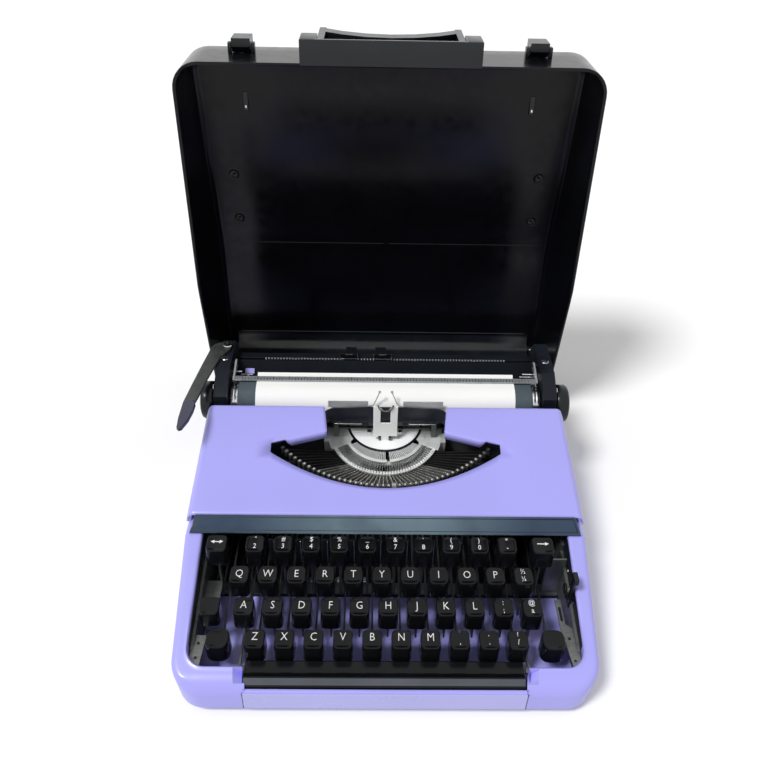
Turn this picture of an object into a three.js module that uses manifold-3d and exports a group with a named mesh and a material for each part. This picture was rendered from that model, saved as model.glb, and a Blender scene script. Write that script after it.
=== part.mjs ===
// Portable typewriter with its carrying-case lid open behind it.
// Millimetres. X runs to the typist's right, Y away from the typist, Z up.
// Inside the model Y is measured from the front of the base and Z from the table. The finished group is
// then moved so that the origin is the middle of the base's flat underside.
import * as THREE from 'three';
import { mergeVertices } from 'three/addons/utils/BufferGeometryUtils.js';
import Module from 'manifold-3d';

const wasm = await Module();
wasm.setup();

// Driving dimensions
const gap = 0.3; // between pieces that seat on or run in each other
const overrun = 6; // how far a cutting tool reaches past what it cuts
const base = {
  width: 290, depth: 284, wall: 2.5, floor: 2.5, footHeight: 6, footRadius: 9, footInset: 24,
  lipHeight: 24, deckStart: 7, deckHeight: 31, sideHeight: 61.7, railWidth: 13.5, skin: 2.2,
  deckDepth: 15, stripHeight: 26, frontRadius: 20, rearRadius: 14, wellRadius: 12, lugWidth: 8, lugSpan: 60,
  footWidth: 277.5,
};
const nameStrip = { bottomY: 103, bottomZ: 62.5, topY: 112.7, topZ: 69.9, thickness: 1.6, width: 280 };
const cover = {
  topWidth: 282, rearY: 208.5, rearZ: 95, skin: 2, notchRear: 48.8, notchFront: 45.8, notchY: 185,
  tipX: 88.2, tipRearY: 173.3, tipFrontY: 165, arcY: 135.3,
};
const keys = {
  pitch: 19.5, rowStep: 18.5, rowRise: 10.07, firstY: 29.1, firstTop: 41.9, capSize: 13.5, capHeight: 16,
  wideCap: 16, shiftDepth: 15.8, stemDepth: 5, leverThickness: 1.2, leverHeight: 3.5, leverBottom: 21,
  bossRadius: 4.5,
  tieBack: 8, tieDrop: 6.5, tieRadius: 2,
};
const keyShaft = { y: 200, z: 26, radius: 2 };
const rowStartShares = [-4.48, -4.93, -5.16, -4.68]; // first key of each row, in key pitches
const controlKeys = {
  marginX: -117.7, backspaceX: 109.1, shiftLeftX: -112.1, shiftRightX: 111.7, lockX: -118.9,
  lockLaneX: -123, lockCapHeight: 13.5, marginCap: 15, barY: 214, barRadius: 2,
};
const spaceBar = {
  halfWidth: 94, frontY: 3.4, depth: 18, top: 30, height: 8, ridge: 2.5, armLeftX: -98.35, armRightX: 96.65,
  armY: 18.5, armBottom: 16, armHeight: 4.4,
};
const chassis = {
  plateX: 129, plate: 2, frontY: 27.5, rearY: 281, frontTop: 31, lowTop: 44,
  highTop: 50, stepY: 104, crossY: 219, crossTop: 62,
  restY: 88, restDepth: 10, restHeight: 4, beamY: 262, beamDepth: 19, beamTop: 62, beam: 4,
  shelfTop: 55, shelfInnerX: 82, shelfFrontY: 143, shelfRearY: 187,
};
const segment = {
  centreY: 217.2, centreZ: 49.3, tilt: 8.3, innerRadius: 30, outerRadius: 43, pivotRadius: 36, below: 9,
  above: 10, slotFloor: 6, slotWidth: 1.7, lugReach: 50, lugDepth: 10, faceTop: 4, face: 2,
  faceBack: 10.5, ear: 1, grooveEndAngle: 3.4,
};
const typeBar = {
  count: 42, firstAngle: 156, lastAngle: 24, length: 51, rise: 41.6, thickness: 1.1, height: 3.2,
  slugWidth: 3.2, slugHeight: 6.5, slugLength: 2.6, bossRadius: 2.6, wireRadius: 0.8, wireEndAngle: 1.7,
  hIndex: 22,
};
const vibrator = { y: 206, plate: 1, halfWidth: 13, top: 94, bottom: 64, windowHalf: 4.6, windowBottom: 67.5,
  stemHalf: 3, stemBottom: 52, guide: 2 };
const cardHolder = { innerX: 14, outerX: 46, y: 210.4, plate: 0.6, bottom: 91, top: 97, postX: 40 };
const ribbon = { y: 208.6, thickness: 0.5, height: 13, bottom: 77, straightHalf: 44, foldX: 57, foldY: 202,
  dropX: 84, dropY: 189.5, endX: 98, endY: 183.6 };
const spool = { x: 103, y: 165, radius: 20, flange: 1, hubRadius: 4, height: 16, woundRadius: 17 };
const spoolBottom = chassis.shelfTop + gap;
const platen = {
  y: 229, z: 82.1, radius: 17, halfLength: 119, ringHalf: 126.5, ringRadius: 15, shaftRadius: 4,
  shaftHalf: 148,
};
const knob = { innerX: 139.2, outerX: 150.6, radius: 15.6, edge: 2.4 };
const housing = { innerX: 127.2, outerX: 138.2, frontY: 214.4, rearY: 285, bottom: 66.5, top: 108,
  frontTop: 97, crownY: 236, rearCrownY: 277, rearTop: 98 };
const frameBar = { y: 248, depth: 8, bottom: 67, height: 6 };
const carriageHalf = housing.innerX - gap; // what lies between the two end housings
const slide = { y: 262.5, depth: 18, bottom: 62.3, height: 4, postX: 121, postWidth: 5,
  postY: 268, postDepth: 7, postTop: 90.7 };
const marginRail = { halfWidth: 124, y: 267.5, depth: 7, bottom: 91, height: 6.5 };
const marginStop = { leftX: -29, rightX: -4, width: 9, height: 5.5, skirt: 1.6, drop: 3 };
const paperTable = { frontY: 249.5, frontZ: 80, rearY: 263.5, rearZ: 97.5, thickness: 1.6 };
const bail = { pivotY: 252, pivotZ: 103.5, barY: 234, barZ: 100.2, bar: 1.2, barDepth: 5, halfWidth: 124.6,
  arm: 1.5, bossRadius: 3, pinRadius: 1.4 };
const lever = {
  pivotX: -132.8, pivotY: 268, hubRadius: 5.2, z: 108.3, thickness: 2, halfWidth: 3, tipHalf: 4.9,
  points: [[-138.6, 253], [-145, 223], [-150.6, 193]], tipStart: [-151.2, 186], tipEnd: [-150.9, 160],
};
const selector = { x: 133, thickness: 1.6, pivotY: 76, pivotZ: 36, tabY: 64, tabTop: 62, tabDepth: 8, arm: 5,
  bossRadius: 4, slotFrontY: 52, slotRearY: 77, slotWidth: 5, tabWidth: 3.4, pinRadius: 1.6 };
const hinge = { y: 292, z: 30, rodRadius: 2.5, rodHalf: 84, lean: 3.2, cradleRadius: 5.5, earSpan: 76,
  earWidth: 6, earRadius: 6 };
const lid = {
  width: 318, length: 299, behind: 3, wall: 2.2, frontDepth: 58, rearDepth: 95.5, slopeStart: 118,
  slopeDepth: 92.2, rimBend: 115, rimRise: 25, frontRadius: 20, rearRadius: 12, edge: 6,
  padHalf: 65.5, pad: 2, padDepth: 21, panelFront: 1.5, panelBack: 2, panelHeight: 16.5, cheek: 12,
};
const handle = { pivotOut: 12, pivotDepth: 6, pinRadius: 2, armLength: 40, arm: 5, thickness: 7, grip: 12,
  sag: 21.5, halfSpan: 53.2 };
const latch = { inset: 48.2, width: 14, height: 10.4, depth: 13, pivotOut: 4.5, pivotDepth: 30.5, lug: 2.6,
  lugHeight: 7.5, lugDepth: 6, lugGap: 0.4, pinRadius: 1.3 };
const latchX = lid.width / 2 - latch.inset;
const roundSides = 24;
const smallSides = 10;
const keySides = 8;

// Colours and finishes
const paint = new THREE.MeshStandardMaterial({ color: 0xa9a5f0, roughness: 0.38, metalness: 0 });
const blackPlastic = new THREE.MeshStandardMaterial({ color: 0x0b0c0f, roughness: 0.25, metalness: 0 });
const smokedPlate = new THREE.MeshStandardMaterial({ color: 0x20283a, roughness: 0.12, metalness: 0 });
const greySteel = new THREE.MeshStandardMaterial({ color: 0x74777a, roughness: 0.45, metalness: 1 });
const nickel = new THREE.MeshStandardMaterial({ color: 0xc9cbcc, roughness: 0.22, metalness: 1 });
const blackMetal = new THREE.MeshStandardMaterial({ color: 0x14161a, roughness: 0.4, metalness: 0.4 });
const platenRubber = new THREE.MeshStandardMaterial({ color: 0x46555e, roughness: 0.6, metalness: 0 });
const ribbonCloth = new THREE.MeshStandardMaterial({ color: 0x0c0d12, roughness: 0.5, metalness: 0 });
const leverGrey = new THREE.MeshStandardMaterial({ color: 0x5c625f, roughness: 0.5, metalness: 0.6 });

// Solids and how they are placed
function toSolid(geometry) {
  const bare = geometry.clone();
  bare.deleteAttribute('normal');
  bare.deleteAttribute('uv');
  const merged = mergeVertices(bare);
  const mesh = new wasm.Mesh({
    numProp: 3,
    vertProperties: Float32Array.from(merged.attributes.position.array),
    triVerts: Uint32Array.from(merged.index.array),
  });
  return new wasm.Manifold(mesh);
}

function toGeometry(solid) {
  const mesh = solid.getMesh();
  const geometry = new THREE.BufferGeometry();
  geometry.setAttribute('position', new THREE.BufferAttribute(mesh.vertProperties, 3));
  geometry.setIndex(new THREE.BufferAttribute(mesh.triVerts, 1));
  geometry.computeVertexNormals();
  return geometry;
}

const union = (...solids) => solids.reduce((whole, next) => whole.add(next));
const cut = (body, ...tools) => tools.reduce((whole, tool) => whole.subtract(tool), body);

function outline(points) {
  return new THREE.Shape(points.map(([a, b]) => new THREE.Vector2(a, b)));
}

function place(geometry, axisOne, axisTwo, axisThree) {
  return toSolid(geometry.applyMatrix4(new THREE.Matrix4().makeBasis(axisOne, axisTwo, axisThree)));
}

const alongX = new THREE.Vector3(1, 0, 0);
const alongY = new THREE.Vector3(0, 1, 0);
const alongZ = new THREE.Vector3(0, 0, 1);

function extrude(shape, from, to) {
  const options = { depth: to - from, bevelEnabled: false, curveSegments: 6 };
  return new THREE.ExtrudeGeometry(shape, options).translate(0, 0, from);
}

// A shape drawn in Y and Z, swept from one X to another
const sweepX = (shape, from, to) => place(extrude(shape, from, to), alongY, alongZ, alongX);
// A shape drawn in X and Y, swept from one Z to another
const sweepZ = (shape, from, to) => toSolid(extrude(shape, from, to));

function box(fromX, toX, fromY, toY, fromZ, toZ) {
  const geometry = new THREE.BoxGeometry(toX - fromX, toY - fromY, toZ - fromZ);
  return toSolid(geometry.translate((fromX + toX) / 2, (fromY + toY) / 2, (fromZ + toZ) / 2));
}

function rodX(radius, fromX, toX, y, z, sides = smallSides) {
  const geometry = new THREE.CylinderGeometry(radius, radius, toX - fromX, sides);
  return toSolid(geometry.rotateZ(-Math.PI / 2).translate((fromX + toX) / 2, y, z));
}

function rodZ(radius, x, y, fromZ, toZ, sides = smallSides) {
  const geometry = new THREE.CylinderGeometry(radius, radius, toZ - fromZ, sides);
  return toSolid(geometry.rotateX(Math.PI / 2).translate(x, y, (fromZ + toZ) / 2));
}

// The corner radius of a many-sided bore that a rod turns in
const boreRadius = (radius, sides = smallSides) => (radius + gap) / Math.cos(Math.PI / sides);

function roundedPlan(halfWidth, frontY, rearY, frontRadius, rearRadius) {
  const shape = new THREE.Shape();
  shape.moveTo(-halfWidth + frontRadius, frontY);
  shape.absarc(halfWidth - frontRadius, frontY + frontRadius, frontRadius, -Math.PI / 2, 0, false);
  shape.absarc(halfWidth - rearRadius, rearY - rearRadius, rearRadius, 0, Math.PI / 2, false);
  shape.absarc(-halfWidth + rearRadius, rearY - rearRadius, rearRadius, Math.PI / 2, Math.PI, false);
  shape.absarc(-halfWidth + frontRadius, frontY + frontRadius, frontRadius, Math.PI, Math.PI * 1.5, false);
  return shape;
}

const machine = new THREE.Group();

function addPart(name, solid, material, parent = machine) {
  const mesh = new THREE.Mesh(toGeometry(solid), material);
  mesh.name = name;
  parent.add(mesh);
}

const floorTop = base.footHeight + base.floor;
const openHalf = base.width / 2 - base.railWidth;

// Draws in the sides of the base towards its underside
function draft(solid) {
  const draw = (base.width - base.footWidth) / base.width / (base.sideHeight - base.footHeight);
  return solid.warp((vertex) => {
    vertex[0] *= 1 - draw * Math.max(base.sideHeight - vertex[2], 0);
  });
}

// Base: a painted tray with rails beside the keyboard, feet below and hinge cradles behind
function basePan() {
  const half = base.width / 2;
  const bottom = base.footHeight;
  const side = [[0, bottom], [base.depth, bottom], [base.depth, base.sideHeight],
    [nameStrip.bottomY, base.sideHeight], [base.deckStart, base.deckHeight], [0, base.lipHeight]];
  const plan = roundedPlan(half, 0, base.depth, base.frontRadius, base.rearRadius);
  const block = sweepZ(plan, bottom, base.sideHeight).intersect(sweepX(outline(side), -half, half));
  const wall = base.wall;
  const innerSide = [[wall, floorTop], [base.depth - wall, floorTop],
    [base.depth - wall, base.sideHeight - base.skin], [nameStrip.bottomY, base.sideHeight - base.skin],
    [base.deckStart, base.deckHeight - base.skin], [wall, base.lipHeight - base.skin]];
  const innerPlan = roundedPlan(half - wall, wall, base.depth - wall, base.frontRadius - wall,
    base.rearRadius - wall);
  const hollow = sweepZ(innerPlan, floorTop, base.sideHeight).intersect(
    sweepX(outline(innerSide), wall - half, half - wall));
  const corners = roundedPlan(openHalf, base.deckDepth, base.depth / 2, base.wellRadius, base.wellRadius);
  const well = union(sweepZ(corners, floorTop, base.sideHeight + overrun), box(-openHalf, openHalf,
    base.deckDepth + base.wellRadius, base.depth - wall, floorTop, base.sideHeight + overrun));
  const barHalf = spaceBar.halfWidth + wall;
  const barWell = box(-barHalf, barHalf, wall, base.deckDepth + overrun, floorTop,
    base.sideHeight + overrun);
  const strip = box(-barHalf, barHalf, -overrun, base.deckDepth, base.stripHeight,
    base.sideHeight + overrun);
  const slotX = selector.x - (selector.slotWidth - selector.tabWidth) / 2;
  const slot = box(openHalf - wall, slotX + selector.slotWidth, selector.slotFrontY, selector.slotRearY,
    floorTop, base.sideHeight + overrun);
  return union(cut(draft(block), draft(hollow), well, barWell, strip, slot), ...feet(), ...cradles());
}

function feet() {
  const x = base.width / 2 - base.footInset;
  return [[-x, base.footInset], [x, base.footInset], [-x, base.depth - base.footInset],
    [x, base.depth - base.footInset]].map(([footX, footY]) =>
    rodZ(base.footRadius, footX, footY, 0, floorTop, smallSides));
}

// Each cradle is open upwards, so that the lid's rod can be lifted out
function cradles() {
  const bore = boreRadius(hinge.rodRadius);
  return [-base.lugSpan, base.lugSpan].map((x) => {
    const from = x - base.lugWidth / 2;
    const to = x + base.lugWidth / 2;
    const arm = box(from, to, base.depth - base.wall, hinge.y, hinge.z - hinge.cradleRadius, hinge.z + bore);
    const cheek = box(from, to, hinge.y, hinge.y + hinge.cradleRadius, hinge.z - hinge.cradleRadius,
      hinge.z + bore);
    const mouth = box(from - overrun, to + overrun, hinge.y - bore, hinge.y + bore, hinge.z,
      hinge.z + bore + overrun);
    return cut(union(arm, cheek), mouth, rodX(bore, from - overrun, to + overrun, hinge.y, hinge.z));
  });
}

// Steel frame: side plates, key shaft, cross plate, key rest, spool shelves and the carriage beam
function chassisFrame() {
  const c = chassis;
  const bottom = floorTop + gap;
  const side = outline([[c.frontY, bottom], [c.rearY, bottom], [c.rearY, c.beamTop],
    [c.crossY, c.beamTop], [c.crossY, c.highTop], [c.stepY, c.highTop], [c.stepY, c.lowTop],
    [c.frontY, c.frontTop]]);
  const outer = c.plateX + c.plate;
  const shelf = (from, to) => box(from, to, c.shelfFrontY, c.shelfRearY, c.shelfTop - c.plate, c.shelfTop);
  const drop = (from, to) => box(from, to, c.shelfFrontY, c.shelfRearY, c.highTop - c.plate, c.shelfTop);
  const pin = (x) => rodZ(spool.hubRadius / 2, x, spool.y, c.shelfTop - c.plate,
    spoolBottom + spool.height / 2);
  const post = (x) => box(x - c.plate, x + c.plate, cardHolder.y, c.crossY, c.crossTop - c.plate,
    c.crossTop);
  const guideX = vibrator.stemHalf + gap;
  const guide = (from, to) => box(from, to, vibrator.y - gap, c.crossY, c.crossTop - c.plate, c.crossTop);
  const pivot = rodX(selector.pinRadius, c.plateX, selector.x + selector.thickness, selector.pivotY,
    selector.pivotZ);
  return union(
    sweepX(side, -outer, -c.plateX),
    sweepX(side, c.plateX, outer),
    rodX(keyShaft.radius, -outer, outer, keyShaft.y, keyShaft.z, smallSides),
    box(-outer, outer, c.crossY, c.crossY + c.plate, bottom, c.crossTop),
    box(-outer, outer, c.restY, c.restY + c.restDepth, bottom, bottom + c.restHeight),
    box(-outer, outer, c.restY, c.crossY, bottom, bottom + c.plate),
    box(-outer, outer, c.beamY, c.beamY + c.beamDepth, c.beamTop - c.beam, c.beamTop),
    shelf(-outer, -c.shelfInnerX), shelf(c.shelfInnerX, outer),
    drop(-outer, -c.plateX), drop(c.plateX, outer),
    pin(-spool.x), pin(spool.x), pivot, post(-cardHolder.postX), post(cardHolder.postX), cardHolders(),
    guide(-guideX - vibrator.guide, -guideX), guide(guideX, guideX + vibrator.guide));
}

// A key: cap, stem and lever in one, turning about the key shaft
function cap(x, y, top, width, depth, height) {
  const geometry = new THREE.BoxGeometry(width, depth, height);
  const position = geometry.attributes.position;
  const capTopShare = 0.94;
  for (let i = 0; i < position.count; i++) {
    if (position.getZ(i) > 0) {
      position.setX(i, position.getX(i) * capTopShare);
      position.setY(i, position.getY(i) * capTopShare);
    }
  }
  return toSolid(geometry.translate(x, y, top - height / 2));
}

function shaftBore(x) {
  return rodX(boreRadius(keyShaft.radius, keySides), x - overrun, x + overrun, keyShaft.y, keyShaft.z,
    keySides);
}

function leverBar(x, y, bottom, height, stemTop) {
  const half = keys.leverThickness / 2;
  const shaftBottom = keyShaft.z - height / 2;
  const profile = outline([[y - keys.stemDepth / 2, bottom], [keyShaft.y, shaftBottom],
    [keyShaft.y, shaftBottom + height], [y + keys.stemDepth / 2, bottom + height],
    [y + keys.stemDepth / 2, stemTop], [y - keys.stemDepth / 2, stemTop]]);
  const boss = rodX(keys.bossRadius, x - half, x + half, keyShaft.y, keyShaft.z, keySides);
  return cut(union(sweepX(profile, x - half, x + half), boss), shaftBore(x));
}

const rowY = (row) => keys.firstY + row * keys.rowStep;
const rowTop = (row) => keys.firstTop + row * keys.rowRise;

function key(x, row, laneX = x, width = keys.capSize, depth = keys.capSize, height = keys.capHeight) {
  const top = rowTop(row);
  const stemTop = top - height / 2;
  return union(cap(x, rowY(row) + (depth - keys.capSize) / 2, top, width, depth, height),
    leverBar(laneX, rowY(row), keys.leverBottom, keys.leverHeight, stemTop));
}

const rows = ['zxcvbnm...', 'asdfghjkl..', 'qwertyuiop.', '..........'];

function keyX(row, column) {
  return (rowStartShares[row] + column) * keys.pitch;
}

function addLetterKeys() {
  rows.forEach((letters, row) => {
    [...letters].forEach((letter, column) => {
      if (letter !== '.') addPart(`key_${letter}`, key(keyX(row, column), row), blackPlastic);
    });
  });
}

function keyTail(x) {
  const half = keys.leverThickness / 2;
  return cut(box(x - half, x + half, keyShaft.y, controlKeys.barY, keyShaft.z - controlKeys.barRadius,
    keyShaft.z + controlKeys.barRadius),
  shaftBore(x));
}

// The figure and mark keys are joined behind the shaft by a rod, so that they stay one body
function figureAndMarkKeys() {
  const half = keys.leverThickness / 2;
  const k = keys;
  const tieY = keyShaft.y + k.tieBack;
  const tieZ = keyShaft.z - k.tieDrop;
  const tail = outline([[keyShaft.y + k.bossRadius - k.leverThickness, keyShaft.z],
    [keyShaft.y + k.bossRadius - k.leverThickness, keyShaft.z - k.leverThickness * 2],
    [tieY - k.tieRadius, tieZ], [tieY, tieZ], [tieY, tieZ + k.tieRadius],
    [keyShaft.y + k.bossRadius, keyShaft.z]]);
  const bodies = [];
  const places = [];
  rows.forEach((letters, row) => {
    [...letters].forEach((letter, column) => {
      if (letter !== '.') return;
      const x = keyX(row, column);
      places.push(x);
      bodies.push(key(x, row), sweepX(tail, x - half, x + half));
    });
  });
  const tie = rodX(k.tieRadius, Math.min(...places) - half, Math.max(...places) + half, tieY, tieZ,
    keySides);
  return union(...bodies, tie);
}

function shiftKeys() {
  const half = keys.leverThickness / 2;
  const side = (x) => union(key(x, 0, x, keys.wideCap, keys.shiftDepth), keyTail(x));
  const bar = rodX(controlKeys.barRadius, controlKeys.shiftLeftX - half, controlKeys.shiftRightX + half,
    controlKeys.barY, keyShaft.z, keySides);
  return union(side(controlKeys.shiftLeftX), side(controlKeys.shiftRightX), bar);
}

function spaceBarPart() {
  const s = spaceBar;
  const rear = s.frontY + s.depth;
  const bottom = s.top - s.height;
  const ridgeY = s.frontY + s.depth / 2;
  const profile = outline([[s.frontY, bottom], [rear, bottom], [rear, s.top - s.ridge],
    [ridgeY + s.ridge, s.top], [ridgeY - s.ridge, s.top], [s.frontY, s.top - s.ridge]]);
  const reach = s.halfWidth - s.ridge;
  const half = keys.leverThickness / 2;
  const arm = (x) => union(leverBar(x, s.armY, s.armBottom, s.armHeight, bottom + s.ridge),
    box(Math.min(x - half, reach), Math.max(x + half, -reach), s.armY - keys.stemDepth / 2,
      s.armY + keys.stemDepth / 2, bottom, bottom + s.ridge));
  return union(sweepX(profile, -s.halfWidth, s.halfWidth), arm(s.armLeftX), arm(s.armRightX));
}

function ribbonSelector() {
  const s = selector;
  const to = s.x + s.thickness;
  const arm = box(s.x, to, s.tabY - s.arm / 2, s.tabY + s.arm / 2, s.pivotZ, s.tabTop);
  const foot = box(s.x, to, s.tabY - s.arm / 2, s.pivotY, s.pivotZ - s.arm / 2, s.pivotZ + s.arm / 2);
  const boss = rodX(s.bossRadius, s.x, to, s.pivotY, s.pivotZ);
  const tab = box(s.x, s.x + s.tabWidth, s.tabY - s.tabDepth / 2, s.tabY + s.tabDepth / 2,
    s.tabTop - s.arm / 2, s.tabTop + s.arm / 2);
  const bore = rodX(boreRadius(s.pinRadius), s.x - overrun, to + overrun, s.pivotY, s.pivotZ);
  return cut(union(arm, foot, boss, tab), bore);
}

// Type basket, drawn about the centre of the pivot circle: z along the axis, y away from the typist
const basket = new THREE.Group();
basket.position.set(0, segment.centreY, segment.centreZ);
basket.rotation.x = THREE.MathUtils.degToRad(segment.tilt);
machine.add(basket);

function ringSector(innerRadius, outerRadius, fromAngle, toAngle, fromZ, toZ) {
  const steps = 20;
  const shape = new THREE.Shape();
  for (let i = 0; i <= steps; i++) {
    const angle = -THREE.MathUtils.degToRad(fromAngle + (toAngle - fromAngle) * i / steps);
    const x = outerRadius * Math.cos(angle);
    const y = outerRadius * Math.sin(angle);
    if (i === 0) shape.moveTo(x, y);
    else shape.lineTo(x, y);
  }
  for (let i = steps; i >= 0; i--) {
    const angle = -THREE.MathUtils.degToRad(fromAngle + (toAngle - fromAngle) * i / steps);
    shape.lineTo(innerRadius * Math.cos(angle), innerRadius * Math.sin(angle));
  }
  return sweepZ(shape, fromZ, toZ);
}

const barAngle = (index) => typeBar.firstAngle
  + (typeBar.lastAngle - typeBar.firstAngle) * index / (typeBar.count - 1);

// Turns a solid drawn along +X to point at one bar's angle, on the typist's side
const aim = (solid, index) => solid.rotate([0, 0, -barAngle(index)]);

function segmentPart() {
  const s = segment;
  const tilt = THREE.MathUtils.degToRad(s.tilt);
  const lugBack = (chassis.crossY - gap - s.centreY - s.below * Math.sin(tilt)) / Math.cos(tilt);
  const lug = (from, to) => box(from, to, -s.lugDepth, lugBack, -s.below, s.above);
  const slab = ringSector(s.innerRadius, s.outerRadius, 0, 180, -s.below, s.above);
  const grooveHalf = typeBar.wireRadius + gap * 2;
  const groove = ringSector(s.pivotRadius - grooveHalf, s.pivotRadius + grooveHalf,
    typeBar.lastAngle - s.grooveEndAngle, typeBar.firstAngle + s.grooveEndAngle, -s.slotFloor,
    s.above + overrun);
  const slots = [];
  for (let i = 0; i < typeBar.count; i++) {
    slots.push(aim(box(s.innerRadius - overrun, s.outerRadius + overrun, -s.slotWidth / 2,
      s.slotWidth / 2, -s.slotFloor, s.above + overrun), i));
  }
  const body = cut(union(slab, lug(s.innerRadius, s.lugReach), lug(-s.lugReach, -s.innerRadius)),
    groove, ...slots);
  return union(body, segmentFace());
}

// A plate inside the half ring, held by an ear at each end
function segmentFace() {
  const s = segment;
  const radius = s.innerRadius - gap * 2;
  const end = Math.asin(s.faceBack / radius);
  const shape = new THREE.Shape();
  shape.absarc(0, 0, radius, Math.PI + end, Math.PI * 2 - end, false);
  const ear = (from, to) => box(from, to, -s.faceBack - s.ear, -s.faceBack + s.ear, s.faceTop - s.face,
    s.faceTop);
  const earInner = s.innerRadius - s.face * 2;
  const earOuter = s.innerRadius + s.ear;
  return union(sweepZ(shape, s.faceTop - s.face, s.faceTop), ear(earInner, earOuter),
    ear(-earOuter, -earInner));
}

function typeBarSolid(withWireHole) {
  const t = typeBar;
  const rise = THREE.MathUtils.degToRad(t.rise);
  const along = (distance, across) => [
    segment.pivotRadius + distance * Math.cos(rise) - across * Math.sin(rise),
    distance * Math.sin(rise) + across * Math.cos(rise)];
  const half = t.height / 2;
  const shank = outline([along(-t.bossRadius, 0), along(-half, -t.bossRadius), along(half, -t.bossRadius),
    along(t.bossRadius * 2, -half), along(t.length, -half), along(t.length, half),
    along(t.bossRadius * 2, half), along(half, t.bossRadius), along(-half, t.bossRadius)]);
  const slug = outline([along(t.length - t.slugLength, -t.slugHeight / 2),
    along(t.length, -t.slugHeight / 2), along(t.length, t.slugHeight / 2),
    along(t.length - t.slugLength, t.slugHeight / 2)]);
  const inPlane = (shape, width) => place(extrude(shape, -width / 2, width / 2), alongX, alongZ,
    alongY.clone().negate());
  const solid = union(inPlane(shank, t.thickness), inPlane(slug, t.slugWidth));
  if (!withWireHole) return solid;
  const radius = boreRadius(t.wireRadius, keySides);
  const hole = new THREE.CylinderGeometry(radius, radius, t.thickness + overrun, keySides);
  return cut(solid, toSolid(hole.translate(segment.pivotRadius, 0, 0)));
}

function typeBars() {
  const bars = [];
  const plain = typeBarSolid(false);
  for (let i = 0; i < typeBar.count; i++) {
    if (i !== typeBar.hIndex) bars.push(aim(plain, i));
  }
  const wirePath = new THREE.Curve();
  const margin = typeBar.wireEndAngle;
  wirePath.getPoint = (t, target = new THREE.Vector3()) => {
    const from = typeBar.lastAngle - margin;
    const angle = -THREE.MathUtils.degToRad(from + t * (typeBar.firstAngle + margin - from));
    return target.set(segment.pivotRadius * Math.cos(angle), segment.pivotRadius * Math.sin(angle), 0);
  };
  const section = new THREE.Shape();
  section.absarc(0, 0, typeBar.wireRadius, 0, Math.PI * 2, false);
  const options = { steps: 40, extrudePath: wirePath, bevelEnabled: false, curveSegments: 2 };
  return union(...bars, toSolid(new THREE.ExtrudeGeometry(section, options)));
}

function ribbonVibrator() {
  const v = vibrator;
  const plate = box(-v.halfWidth, v.halfWidth, v.y, v.y + v.plate, v.bottom, v.top);
  const notch = outline([[-v.windowHalf / 2, v.windowBottom], [v.windowHalf / 2, v.windowBottom],
    [v.windowHalf, v.windowBottom + v.windowHalf], [v.windowHalf, v.top + overrun],
    [-v.windowHalf, v.top + overrun], [-v.windowHalf, v.windowBottom + v.windowHalf]]);
  const window = place(extrude(notch, -v.y - v.plate - overrun, -v.y + overrun), alongX, alongZ,
    alongY.clone().negate());
  const stem = box(-v.stemHalf, v.stemHalf, v.y, v.y + v.plate, v.stemBottom, v.bottom + v.stemHalf);
  return union(cut(plate, window), stem);
}

// Clear card holders on two posts that stand on the chassis cross plate
function cardHolders() {
  const c = cardHolder;
  const blade = (from, to) => box(from, to, c.y, c.y + c.plate, c.bottom, c.top);
  const post = (x) => box(x - chassis.plate, x + chassis.plate, c.y, c.y + c.plate,
    chassis.crossTop - chassis.plate, c.bottom + c.plate);
  return union(blade(-c.outerX, -c.innerX), blade(c.innerX, c.outerX), post(-c.postX), post(c.postX));
}

// The ribbon stands across the printing point and drops on each side to its spool
function inkRibbon() {
  const r = ribbon;
  const path = [[-r.endX, r.endY], [-r.dropX, r.dropY], [-r.foldX, r.foldY], [-r.straightHalf, r.y],
    [r.straightHalf, r.y], [r.foldX, r.foldY], [r.dropX, r.dropY], [r.endX, r.endY]];
  const plan = outline([...path, ...path.map(([x, y]) => [x, y + r.thickness]).reverse()]);
  const low = spoolBottom + (spool.height - r.height) / 2;
  const dropStart = (r.foldX + r.dropX) / 2;
  return sweepZ(plan, r.bottom, r.bottom + r.height).warp((vertex) => {
    if (Math.abs(vertex[0]) > dropStart) vertex[2] += low - r.bottom;
  });
}

function ribbonSpool(x) {
  const s = spool;
  const top = spoolBottom + s.height;
  const body = union(rodZ(s.radius, x, s.y, spoolBottom, spoolBottom + s.flange, roundSides),
    rodZ(s.woundRadius, x, s.y, spoolBottom, top, roundSides),
    rodZ(s.radius, x, s.y, top - s.flange, top, roundSides));
  return cut(body, rodZ(boreRadius(s.hubRadius / 2), x, s.y, spoolBottom - overrun, top - s.flange));
}

// Ribbon cover: a shell over the basket, with the opening for the type and a notch at the printing point
const coverSlope = (cover.rearZ - nameStrip.topZ) / (cover.rearY - nameStrip.topY);
const stripSlope = Math.atan2(nameStrip.topZ - nameStrip.bottomZ, nameStrip.topY - nameStrip.bottomY);
const coverZ = (y) => nameStrip.topZ + (y - nameStrip.topY) * coverSlope;

// Widens a shell towards its foot, so that its sides meet the base's
function flare(solid) {
  const foot = base.sideHeight + gap;
  const growth = (base.width - cover.topWidth) / cover.topWidth;
  return solid.warp((vertex) => {
    vertex[0] *= 1 + growth * (cover.rearZ - vertex[2]) / (cover.rearZ - foot);
  });
}

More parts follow.
